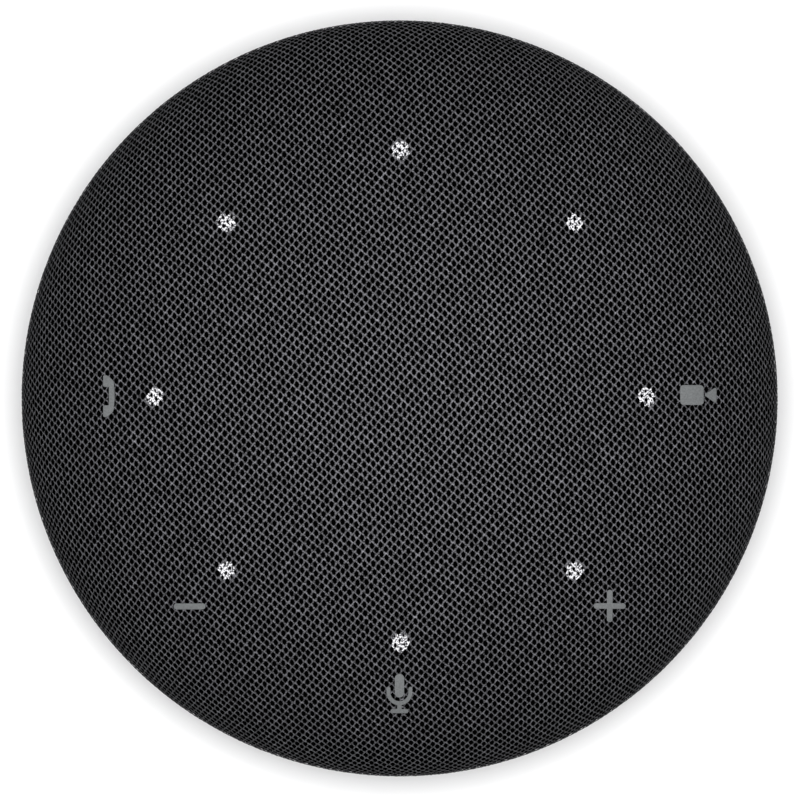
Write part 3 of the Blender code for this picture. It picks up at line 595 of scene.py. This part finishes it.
class Knit:
    """The whole knit as one mesh: holes' rims first, then the nodes where threads run and cross."""

    def __init__(self):
        chance = np.random.default_rng(KNIT_SEED)
        reach = math.ceil(CUT_R / PITCH) + 1
        steps = np.arange(-reach, reach + 1)
        cells = np.stack(np.meshgrid(steps, steps, indexing="ij"), -1).reshape(-1, 2)
        first = np.array((math.cos(LATTICE_ANGLE), math.sin(LATTICE_ANGLE)))
        axes = PITCH * np.array((first, (-first[1], first[0])))
        centres = wander(cells + LATTICE_PHASE) @ axes
        cells_out = np.hypot(centres[:, 0], centres[:, 1])
        inside = cells_out < CUT_R - PITCH / 3
        cells, cells_out = cells[inside], cells_out[inside]
        count = len(cells)

        corners = np.array(((1, 0), (1, 1), (0, 1), (-1, 1), (-1, 0), (-1, -1), (0, -1), (1, -1)))
        keys = (2 * cells[:, None] + corners).reshape(-1, 2)
        nodes, node_of = np.unique(keys, axis=0, return_inverse=True)
        node_of = node_of.reshape(count, HOLE_SIDES) + count * HOLE_SIDES
        crossing = (nodes % 2).all(axis=1)

        middles = cells + LATTICE_PHASE + chance.normal(0, HOLE_SHIFT, (count, 2))
        stretch = (cells_out / CUT_R) ** 2
        sizes = 1 + RIM_OPENING * stretch + chance.normal(0, HOLE_SPREAD, count)
        rims = (middles[:, None] + hole_rim() * sizes[:, None, None]).reshape(-1, 2)
        knots = nodes / 2 + LATTICE_PHASE + chance.normal(0, KNOT_SHIFT, (len(nodes), 2))
        flat = wander(np.concatenate((rims, knots))) @ axes
        length = np.hypot(flat[:, 0], flat[:, 1])
        flat *= np.minimum(1.0, CUT_R / np.maximum(length, MERGE))[:, None]

        node_height = np.where(crossing, CROSSING_HEIGHT, THREAD_HEIGHT)
        node_height = node_height + chance.normal(0, HEIGHT_SPREAD, len(nodes))
        height = np.concatenate((np.full(len(rims), HOLE_EDGE_HEIGHT), node_height))
        # Painted light: the holes' rims get 0, painted shade; the threads get more, and the crossings
        # most, a painted highlight.
        node_relief = np.where(crossing, CROSSING_PAINTED_LIGHT, THREAD_PAINTED_LIGHT)
        # The painted light grows outward and drops to painted shade near the rim.
        node_relief *= np.interp(length[len(rims):] / CUT_R, PAINTED_LIGHT_AT, PAINTED_LIGHT_FACTORS)
        self.relief = np.concatenate((np.zeros(len(rims)), node_relief))
        tones_and_glints = chance.normal(0, TONE_SPREAD, len(nodes))
        tones_and_glints *= np.where(crossing, CROSSING_TONE_SPREAD, 1)
        # A few nodes get a painted glint on top of their random tone.
        tones_and_glints = np.where(chance.random(len(nodes)) < PAINTED_GLINT_SHARE, PAINTED_GLINT_TONE, tones_and_glints)
        self.tone = np.concatenate((np.zeros(len(rims)), tones_and_glints))

        rim_of = np.arange(count * HOLE_SIDES).reshape(count, HOLE_SIDES)
        after = np.roll(np.arange(HOLE_SIDES), -1)
        self.quads = np.stack((rim_of, node_of, node_of[:, after], rim_of[:, after]), -1)
        self.crossings = node_of[:, 1::2]
        self.flat = flat
        self.places = over_dome(flat, height - KNIT_DEPTH)
        self.under = over_dome(flat, np.full(len(flat), -SHADE_FILM_DEPTH))
        self.middles = over_dome(wander(middles) @ axes, np.full(count, -KNIT_DEPTH))
        self.normals = self.smooth_normals()

    def smooth_normals(self):
        """Normals of the whole knit, so that no seam shows where it is split into pieces."""
        a, b, c, d = (self.places[self.quads[..., k].ravel()] for k in range(4))
        face_normals = np.cross(c - a, d - b)
        total = np.zeros_like(self.places)
        for k in range(4):
            np.add.at(total, self.quads[..., k].ravel(), face_normals)
        return total / np.maximum(np.linalg.norm(total, axis=1, keepdims=True), TINY)

    def flat_area(self, faces):
        """The area of these faces in the flat cloth. The knit's leave out its holes."""
        x, y = self.flat[faces].reshape(-1, 4, 2).transpose(2, 0, 1)
        nx, ny = np.roll(x, -1, axis=1), np.roll(y, -1, axis=1)
        return abs(float((x * ny - nx * y).sum() / 2))

    def flat_size(self, chosen):
        """The sides of the rectangle that these cells are cut from, which points to the middle."""
        corners = self.flat[self.quads[chosen]].reshape(-1, 2)
        out_x, out_y = corners.mean(axis=0) / np.linalg.norm(corners.mean(axis=0))
        sides = np.ptp(corners @ np.array(((out_x, -out_y), (out_y, out_x))), axis=0)
        return tuple(float(side) for side in sides)

    def piece(self, name, chosen):
        """A piece of the cover with these cells."""
        mesh, used = mesh_of(name, self.places, self.quads[chosen])
        store(mesh, used, relief=self.relief, tone=self.tone)
        mesh.normals_split_custom_set_from_vertices(self.normals[used].tolist())
        return put(name, mesh, MATERIALS["mesh_cloth"])

    def shade_film(self, name, chosen):
        """The black film that backs these cells, from crossing to crossing: painted shade seen through
        the holes.
        """
        mesh, _ = mesh_of(name, self.under, self.crossings[chosen])
        film = put(name, mesh, SHADE_FILM)
        declare(self, chosen, self.flat_area(self.crossings[chosen]))
        return film


def crown_over(key):
    """The cover's place over the middle of a key, and its normal there."""
    x, y = plan_centre(f"key_{key}")
    low, high = (Vector(on_dome(np.array(x), np.array(y), np.array(h))) for h in (0.0, MM))
    return low, (high - low).normalized()


def follow_key(piece, key):
    """The piece's place is baked into its mesh. The crown over the key is found, but the piece doesn't
    move with the key.
    """
    crown, normal = crown_over(key)
    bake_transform(piece)


def make_cover(knit):
    """Two halves, and a separate round of cloth over each key."""
    over_lights = np.zeros(len(knit.quads), bool)
    for i in range(LIGHT_COUNT):
        over_lights |= near_light(knit, i)
    over_keys = np.zeros(len(knit.quads), bool)
    for key in KEYS:
        crown, normal = crown_over(key)
        depth = (np.array(crown) - knit.places) @ np.array(normal)
        near = np.linalg.norm(knit.places - np.array(crown), axis=1) < KEY_REACH
        chosen = ((depth < GIVE_START) & near)[knit.quads].any(axis=(1, 2))
        piece = knit.piece(f"cloth_over_{key}_key", chosen)
        declare(knit, chosen)
        follow_key(piece, key)
        film = knit.shade_film(f"shade_film_under_{key}_key", chosen)
        follow_key(film, key)
        over_keys |= chosen
    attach(knit.shade_film("shade_film", ~over_keys), "root")
    right = knit.middles[:, 0] > 0
    for name, side, is_right in (("cloth_right", right, True), ("cloth_left", ~right, False)):
        chosen = side & ~over_keys & ~over_lights
        piece = knit.piece(name, chosen)
        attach(piece, "root")
        declare(knit, side, knit.flat_area(knit.quads[chosen]))


def declare(knit, cut, area=None):
    """Hide the CAD cover, and work out the flat size and area of these cells; neither is kept."""
    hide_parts("fabric_cover")
    knit.flat_size(cut)
    area or knit.flat_area(knit.quads[cut])


def near_light(knit, i):
    """Which cells of the knit make up the round of cloth over a light."""
    x, y = plan_centre(f"light_guide_{i + 1}")
    return np.hypot(knit.middles[:, 0] - x, knit.middles[:, 1] - y) < WINDOW_R + WINDOW_MARGIN


def make_window(knit, i):
    """The round of knit over a light guide. Its threads glow, and its meshes close up."""
    chance = np.random.default_rng(WINDOW_SEED + i)
    x, y = plan_centre(f"light_guide_{i + 1}")
    cells = np.flatnonzero(near_light(knit, i))
    places = knit.places.copy()
    away = np.hypot(places[:, 0] - x, places[:, 1] - y) / WINDOW_R
    glow = np.where(knit.relief > 0, THREAD_GLOW, HOLE_EDGE_GLOW)
    for cell in cells:
        rim = knit.quads[cell, :, 0]
        middle = knit.middles[cell]
        opening = chance.uniform(*WINDOW_OPENING)
        if np.hypot(middle[0] - x, middle[1] - y) < WINDOW_R:
            places[rim] = middle + (places[rim] - middle) * opening
    name = f"light_window_{i + 1}"
    mesh, used = mesh_of(name, places, knit.quads[cells])
    store(mesh, used, relief=knit.relief, tone=knit.tone, away=away, glow=glow)
    window = put(name, mesh, LIT_CLOTH)
    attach(window, "root")
    return window


# ---------------------------------------------------------------- the printed icons


def stroke_bar(width, height, middle=(0.0, 0.0), radius=None):
    """A bar with rounded corners."""
    x, y = middle
    corner = min(width, height) * 0.45 if radius is None else radius
    half_w, half_h = width / 2, height / 2
    return rounded(
        [
            (x - half_w, y - half_h, corner),
            (x + half_w, y - half_h, corner),
            (x + half_w, y + half_h, corner),
            (x - half_w, y + half_h, corner),
        ]
    )


def cradle(outer, stroke, arms, middle):
    """The U that holds the microphone: a half ring with two straight arms that end round."""
    x, y = middle
    tip = stroke / 2
    right_tip, left_tip = ((x + side * (outer - tip), y + arms) for side in (1, -1))
    return (
        arc(middle, outer, math.pi, math.pi, CRADLE_STEPS)
        + arc(right_tip, tip, 0, math.pi, CRADLE_TIP_STEPS)
        + arc(middle, outer - stroke, math.tau, -math.pi, CRADLE_STEPS)
        + arc(left_tip, tip, 0, math.pi, CRADLE_TIP_STEPS)
    )


def handset():
    """A telephone handset on its side, open to the left."""
    tall, lobe, deep = 2.76 * MM, 1.22 * MM, 0.71 * MM
    bow = 0.80 * MM                     # how far its back stands out
    neck_x = 0.05 * MM                  # the inside of the grip
    tip_r, crook_r, shoulder_r, back_r = 0.22 * MM, 0.12 * MM, 0.9 * MM, 8 * MM
    shoulder_x, shoulder_y = 0.66 * MM, 0.72 * tall
    half = [
        (bow, 0.0, back_r),
        (shoulder_x, shoulder_y, shoulder_r),
        (-0.20 * MM, tall, 0.8 * MM),
        (-deep, tall, tip_r),
        (-deep, lobe, tip_r),
        (neck_x, lobe, crook_r),
    ]
    other_half = [(x, -y, radius) for x, y, radius in half[:0:-1]]
    return rounded(half + other_half)


def microphone():
    """A capsule in its cradle, on a stem and a foot."""
    capsule = stroke_bar(1.23 * MM, 3.08 * MM, (0, 1.05 * MM), 0.60 * MM)
    holder = cradle(1.70 * MM, 0.51 * MM, 0.45 * MM, (0, 0.20 * MM))
    stem = stroke_bar(0.57 * MM, 0.9 * MM, (0, -1.75 * MM), 0.05 * MM)
    foot = stroke_bar(2.34 * MM, 0.52 * MM, (0, -2.28 * MM))
    return [capsule, holder, stem, foot]


def video_camera():
    """A plain camera body with its lens hood to the right."""
    body = stroke_bar(3.1 * MM, 2.6 * MM, (-0.9 * MM, 0), 0.45 * MM)
    tip_x, mouth_x, mouth_y = 0.75 * MM, 2.35 * MM, 1.15 * MM
    tip_r, mouth_r = 0.1 * MM, 0.2 * MM
    hood = [(tip_x, 0.0, tip_r), (mouth_x, -mouth_y, mouth_r), (mouth_x, mouth_y, mouth_r)]
    return [body, rounded(hood)]


def icon_shapes():
    """Each key's icon: outlines about its middle, and the middle's shift from the key's."""
    minus = stroke_bar(4.15 * MM, 0.77 * MM)
    plus = [stroke_bar(4.2 * MM, 0.72 * MM), stroke_bar(0.73 * MM, 4.2 * MM)]
    return {
        "answer": ([handset()], (0.70 * MM, 0.09 * MM)),
        "volume_down": ([minus], (-0.09 * MM, 0.06 * MM)),
        "mute": (microphone(), (-0.12 * MM, 0.02 * MM)),
        "volume_up": (plus, (-0.09 * MM, 0.12 * MM)),
        "meeting": (video_camera(), (0.18 * MM, 0.24 * MM)),
    }


def inside_points(outlines):
    """A grid of points over the outlines, so that the print can bend with the dome."""
    corners = np.concatenate([np.array(outline) for outline in outlines])
    low, high = corners.min(axis=0), corners.max(axis=0)
    across, up = (np.arange(low[k], high[k], INK_CELL) + INK_CELL / 3 for k in (0, 1))
    return [Vector((x, y)) for x in across for y in up]


def make_icon(key, outlines, shift):
    """Ink over the threads: the union of the outlines, bent over the dome."""
    points, loops = [], []
    for outline in outlines:
        loops.append(list(range(len(points), len(points) + len(outline))))
        points.extend(Vector(point) for point in outline)
    points.extend(inside_points(outlines))
    flat, _, faces, _, _, sources = delaunay_2d_cdt(points, [], loops, 0, SAME_POINT)
    kept = [face for face, source in zip(faces, sources) if source]
    x, y = plan_centre(f"key_{key}")
    plan = np.array(flat) + (x + shift[0], y + shift[1])
    top = on_dome(plan[:, 0], plan[:, 1], np.full(len(plan), INK_HIGH))
    low = on_dome(plan[:, 0], plan[:, 1], np.full(len(plan), INK_LOW))

    builder = bmesh.new()
    upper = [builder.verts.new(place) for place in top]
    lower = [builder.verts.new(place) for place in low]
    for face in kept:
        builder.faces.new([upper[i] for i in face])
        builder.faces.new([lower[i] for i in reversed(face)])
    count = len(upper)
    builder.verts.index_update()
    for edge in [edge for edge in builder.edges if len(edge.link_faces) == 1]:
        a, b = (vertex.index for vertex in edge.verts)
        if a < count and b < count:
            builder.faces.new((upper[a], upper[b], lower[b], lower[a]))
    loose = [vertex for vertex in builder.verts if not vertex.link_faces]
    bmesh.ops.delete(builder, geom=loose, context="VERTS")
    name = f"icon_{key}"
    piece = put(name, from_builder(builder, name), INK)
    follow_key(piece, key)
    return piece


# ---------------------------------------------------------------- the base


def moulding(node, outline, slot, kind="moulding", sides=SIDES):
    """A turned piece that is to stand in for a CAD node."""
    name = f"{node}_{kind}"
    return put(name, turned_mesh(name, outline, sides), MATERIALS[slot])


def screw_places():
    return [plan_centre(f"base_screw_{i + 1}") for i in range(SCREW_COUNT)]


def make_foot():
    """The rubber ring, with two grooves in its sole."""
    outer, low, high = span("foot_ring")
    inner = 33.0 * MM
    edge_r, top_r, groove_r = 0.35 * MM, 0.2 * MM, 0.12 * MM
    groove_half, groove_depth = 0.5 * MM, 0.35 * MM
    corners = [(inner, low, edge_r)]
    third = (outer - inner) / 3
    for middle in (inner + third, outer - third):
        corners += [
            (middle - groove_half, low, groove_r),
            (middle - groove_half, low + groove_depth, groove_r),
            (middle + groove_half, low + groove_depth, groove_r),
            (middle + groove_half, low, groove_r),
        ]
    corners += [(outer, low, edge_r), (outer, high, top_r), (inner, high, top_r)]
    foot = moulding("foot_ring", rounded(corners, SMALL_CORNER_STEPS), "foot_rubber")
    stand_in(foot, "foot_ring")


def make_flange():
    """The bottom cover: a groove for the foot, a plain recessed panel and four screw holes."""
    outer, low, _ = span("bottom_cover")
    high = 3.0 * MM
    foot_outer, _, foot_top = span("foot_ring")
    gap = 0.3 * MM
    groove_in, groove_out, groove_top = 32.7 * MM, foot_outer + gap, foot_top + gap
    groove_r, panel_edge_r = 0.2 * MM, 0.15 * MM
    lower_edge_r, upper_edge_r = 0.9 * MM, 0.7 * MM
    panel_r, panel_depth = 21.0 * MM, 0.3 * MM
    outline = rounded(
        [
            (0, low + panel_depth, 0),
            (panel_r, low + panel_depth, panel_edge_r),
            (panel_r + panel_depth, low, panel_edge_r),
            (groove_in, low, groove_r),
            (groove_in, groove_top, 0),
            (groove_out, groove_top, 0),
            (groove_out, low, groove_r),
            (outer, low, lower_edge_r),
            (outer, high, upper_edge_r),
            (0, high, 0),
        ]
    )
    cover = moulding("bottom_cover", outline, "base_plastic")
    post_r, post_circle_r, post_top = 1.5 * MM, 15 * MM, 4.9 * MM
    post = bar(post_r, high - OVERLAP, post_top)
    mouth_r, well_r, shoulder, well_top = 3.0 * MM, 2.8 * MM, 1.15 * MM, 2.1 * MM
    well = [(0, 0), (mouth_r, 0), (well_r, shoulder), (well_r, well_top), (0, well_top)]
    wells = cutters("well", well, screw_places())
    shanks = cutters("shank", bar(SHANK_HOLE_R, 0, high + OVERLAP), screw_places())
    combine(cover, "UNION", cutters("post", post, round_circle(post_circle_r, 45, 4)))
    combine(cover, "DIFFERENCE", wells + shanks)
    stand_in(cover, "bottom_cover")


def make_neck():
    """The spool that the lead winds on, with soft corners at its ends and the gland's hole."""
    outer, low, high = span("cable_spool")
    inner = outer - 2.4 * MM
    inner_r, outer_r = 0.2 * MM, 0.15 * MM
    outline = rounded(
        [(inner, low, inner_r), (outer, low, outer_r), (outer, high, outer_r), (inner, high, inner_r)],
        SMALL_CORNER_STEPS,
    )
    neck = moulding("cable_spool", outline, "base_plastic")
    boss_r, gland_hole_r, half_depth = 2.7 * MM, 2.1 * MM, 5 * MM
    gland_low, gland_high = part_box("cable_gland")
    gland_place = (0, outer, (gland_low.z + gland_high.z) / 2)
    gland_hole = cutter("gland_hole", bar(gland_hole_r, -half_depth, half_depth), gland_place)
    gland_hole.rotation_euler.x = math.pi / 2
    holes = cutters("hole", bar(SHANK_HOLE_R, low - MM, high + MM), screw_places())
    combine(neck, "UNION", cutters("boss", bar(boss_r, low, high), screw_places()))
    combine(neck, "DIFFERENCE", holes + [gland_hole])
    stand_in(neck, "cable_spool")


def make_housing():
    """The lower housing's floor, with its screw bosses and the board's posts inside."""
    _, low, _ = span("lower_housing")
    floor_r, edge_r, hole_r = 41.9 * MM, 44.1 * MM, 10.0 * MM
    edge_z, top = 9.7 * MM, 10.9 * MM
    inner_r, rim_r, outer_r = 0.2 * MM, 0.15 * MM, 0.3 * MM
    outline = rounded(
        [
            (hole_r, low, inner_r),
            (floor_r, low, outer_r),
            (floor_r, edge_z, 0),
            (edge_r, edge_z, rim_r),
            (edge_r, top, rim_r),
            (hole_r, top, inner_r),
        ],
        SMALL_CORNER_STEPS,
    )
    housing = moulding("lower_housing", outline, "base_plastic")
    boss_r, boss_top = 2.4 * MM, 13.2 * MM
    post_r, post_circle_r, post_top = 2 * MM, 34 * MM, 13.9 * MM
    bosses = cutters("boss", bar(boss_r, top - OVERLAP, boss_top), screw_places())
    post = bar(post_r, top - OVERLAP, post_top)
    posts = cutters("post", post, round_circle(post_circle_r, 22.5, 4))
    holes = cutters("hole", bar(SHANK_HOLE_R, 0, boss_top + MM), screw_places())
    combine(housing, "UNION", bosses + posts)
    combine(housing, "DIFFERENCE", holes)
    stand_in(housing, "lower_housing")


def make_trim():
    """The ring under the rim that holds the cloth's edge."""
    outer, low, high = span("trim_ring")
    inner, upstand, lip_top = 42.2 * MM, 43.3 * MM, 8.5 * MM
    edge_r, lip_r, lip_top_r, crook_r = 0.15 * MM, 0.28 * MM, 0.2 * MM, 0.1 * MM
    outline = rounded(
        [
            (inner, low, edge_r),
            (outer, low, lip_r),
            (outer, lip_top, lip_top_r),
            (upstand, lip_top, crook_r),
            (upstand, high, edge_r),
            (inner, high, edge_r),
        ],
        4,
    )
    stand_in(moulding("trim_ring", outline, "base_plastic"), "trim_ring")


def make_gland():
    """The rubber grommet at the back, with a ribbed nose."""
    low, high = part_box("cable_gland")
    bore, waist, flange = 1.5 * MM, 1.8 * MM, (high.x - low.x) / 2
    wall_in, wall_out, lip = 28.3 * MM, 31.3 * MM, 0.9 * MM
    end_r, flange_r, wall_r, lip_r = 0.1 * MM, 0.2 * MM, 0.15 * MM, 0.25 * MM
    corners = [
        (bore, low.y, end_r),
        (flange, low.y, flange_r),
        (flange, wall_in, wall_r),
        (waist, wall_in, 0),
        (waist, wall_out, 0),
        (flange, wall_out, wall_r),
        (flange, wall_out + lip, lip_r),
    ]
    ribs, step, taper, slope = 3, 0.22 * MM, 0.08 * MM, 0.15 * MM
    groove_depth, groove_r, rib_r = 0.18 * MM, 0.05 * MM, 0.08 * MM
    start = wall_out + 1.0 * MM
    pitch = (high.y - start) / ribs
    for i in range(ribs):
        near, far = start + pitch * i, start + pitch * (i + 1)
        radius = flange - step - taper * i
        corners += [
            (radius - groove_depth, near, groove_r),
            (radius, near + slope, rib_r),
            (radius, far - slope, rib_r),
        ]
    corners.append((bore, high.y, end_r))
    outline = rounded(corners, SMALL_CORNER_STEPS)
    gland = moulding("cable_gland", outline, "gland_rubber", "grommet", 64)
    gland.rotation_euler.x = -math.pi / 2
    gland.location.z = (low.z + high.z) / 2
    stand_in(gland, "cable_gland")


def screw_outline(head_r, bottom, tip):
    """A pan head, a threaded shank and its point."""
    shoulder = bottom + 0.85 * MM
    head_edge_r, shoulder_r = 0.45 * MM, 0.1 * MM
    shank_r, thread_r, pitch = 0.95 * MM, 1.1 * MM, 0.45 * MM
    corners = [
        (0, bottom, 0),
        (head_r, bottom, head_edge_r),
        (head_r, shoulder, shoulder_r),
        (shank_r, shoulder, 0),
    ]
    z = shoulder + MM
    while z < tip - 2.2 * MM:
        corners += [(shank_r, z, 0), (thread_r, z + pitch / 2, 0)]
        z += pitch
    return rounded(corners + [(shank_r, tip - shank_r, 0), (0, tip, 0)], 4)


def recess_wing(name, bottom, turn):
    """One bar of the cross in a screw's head. It narrows inward."""
    length, width, height = 2.6 * MM, 0.5 * MM, 1.2 * MM
    builder = bmesh.new()
    bmesh.ops.create_cube(builder, size=1.0)
    for vertex in builder.verts:
        narrow = 0.55 if vertex.co.z > 0 else 1.0
        vertex.co.x *= length * narrow
        vertex.co.y *= width * narrow
        vertex.co.z *= height
    wing = bpy.data.objects.new(name, from_builder(builder, name))
    bpy.context.scene.collection.objects.link(wing)
    wing.location.z = bottom
    wing.rotation_euler.z = turn
    return wing


def make_screws():
    """Pan-head screws with a cross recess, seen from below."""
    low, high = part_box("base_screw_1")
    outline = screw_outline((high.x - low.x) / 2, low.z, high.z)
    for i, (x, y) in enumerate(screw_places()):
        node = f"base_screw_{i + 1}"
        screw = moulding(node, outline, "screw_steel", "steel", 40)
        first = math.radians(20 + 35 * i)
        wings = [recess_wing(f"wing_{k}", low.z, first + math.pi / 2 * k) for k in range(2)]
        combine(screw, "DIFFERENCE", wings)
        screw.location = (x, y, 0)
        stand_in(screw, node)


def finish_cad_nodes():
    """Give every CAD node that stays the material of its slot."""
    for subpart in frame["record"]["subparts"]:
        node = frame["nodes"][subpart["node"]]
        node.data.materials.clear()
        node.data.materials.append(MATERIALS[subpart["material_slot"]])


# ---------------------------------------------------------------- floor, light and camera


FLOOR_HALF = 6.0
FLOOR_WHITE = (0.9, 0.9, 0.9)
FLOOR_BOUNCE = (0.2, 0.2, 0.2)          # what the floor reflects, as if it were this grey
SKY_COLOUR = (0.96, 0.96, 1.0, 1.0)
SKY_STRENGTH = 0.19
# Each lamp's diameter and height in metres, and its power in watts.
LAMPS = {"softbox": (1.25, 1.2, 24.8), "top_light": (0.06, 0.12, 0.14)}


def add_lamp(name, size, height, power):
    """A round soft lamp over the middle, which the camera itself doesn't see."""
    lamp = bpy.data.lights.new(name, "AREA")
    lamp.shape = "DISK"
    lamp.size = size
    lamp.energy = power
    made = bpy.data.objects.new(name, lamp)
    made.location = (0, 0, height)
    made.visible_camera = False
    bpy.context.scene.collection.objects.link(made)


def make_stage():
    """A white floor under a wide soft light and a small lamp, both over the middle."""
    half = FLOOR_HALF
    mesh = bpy.data.meshes.new("floor")
    corners = [(-half, -half, 0), (half, -half, 0), (half, half, 0), (-half, half, 0)]
    mesh.from_pydata(corners, [], [(0, 1, 2, 3)])
    paint, tree, shader = start_material("floor_paint", FLOOR_WHITE, 0.9)
    seen = add(tree, "ShaderNodeLightPath").outputs["Is Camera Ray"]
    tree.links.new(tint(tree, seen, FLOOR_BOUNCE, FLOOR_WHITE), shader.inputs["Base Color"])
    shader.inputs["Specular IOR Level"].default_value = 0.0
    mesh.materials.append(paint)
    floor = bpy.data.objects.new("floor", mesh)
    bpy.context.scene.collection.objects.link(floor)
    for name, numbers in LAMPS.items():
        add_lamp(name, *numbers)

    world = bpy.data.worlds.new("studio")
    world.use_nodes = True
    sky = world.node_tree.nodes["Background"]
    sky.inputs["Color"].default_value = SKY_COLOUR
    sky.inputs["Strength"].default_value = SKY_STRENGTH
    bpy.context.scene.world = world


def make_camera():
    """A camera far above, a little off the vertical, so that the rim is hardly foreshortened."""
    view = bpy.data.cameras.new("camera")
    view.sensor_width = 36.0
    view.lens = view.sensor_width * (CAMERA_HEIGHT - EQUATOR_Z) / VIEW_WIDTH
    view.clip_end = 50.0
    camera = bpy.data.objects.new("camera", view)
    away = Vector((*CAMERA_LEAN, 1.0)) * (CAMERA_HEIGHT - EQUATOR_Z)
    camera.location = Vector((*VIEW_CENTRE, EQUATOR_Z)) + away
    camera.rotation_euler = (-math.atan(CAMERA_LEAN[1]), math.atan(CAMERA_LEAN[0]), 0)
    bpy.context.scene.collection.objects.link(camera)
    bpy.context.scene.camera = camera
    bpy.context.scene.view_settings.view_transform = "Standard"


make_stage()
make_camera()
finish_cad_nodes()
make_foot()
make_flange()
make_neck()
make_housing()
make_trim()
make_gland()
make_screws()
knit = Knit()
windows = [make_window(knit, i) for i in range(LIGHT_COUNT)]
icons = {key: make_icon(key, *shape) for key, shape in icon_shapes().items()}
make_cover(knit)

bpy.context.view_layer.update()
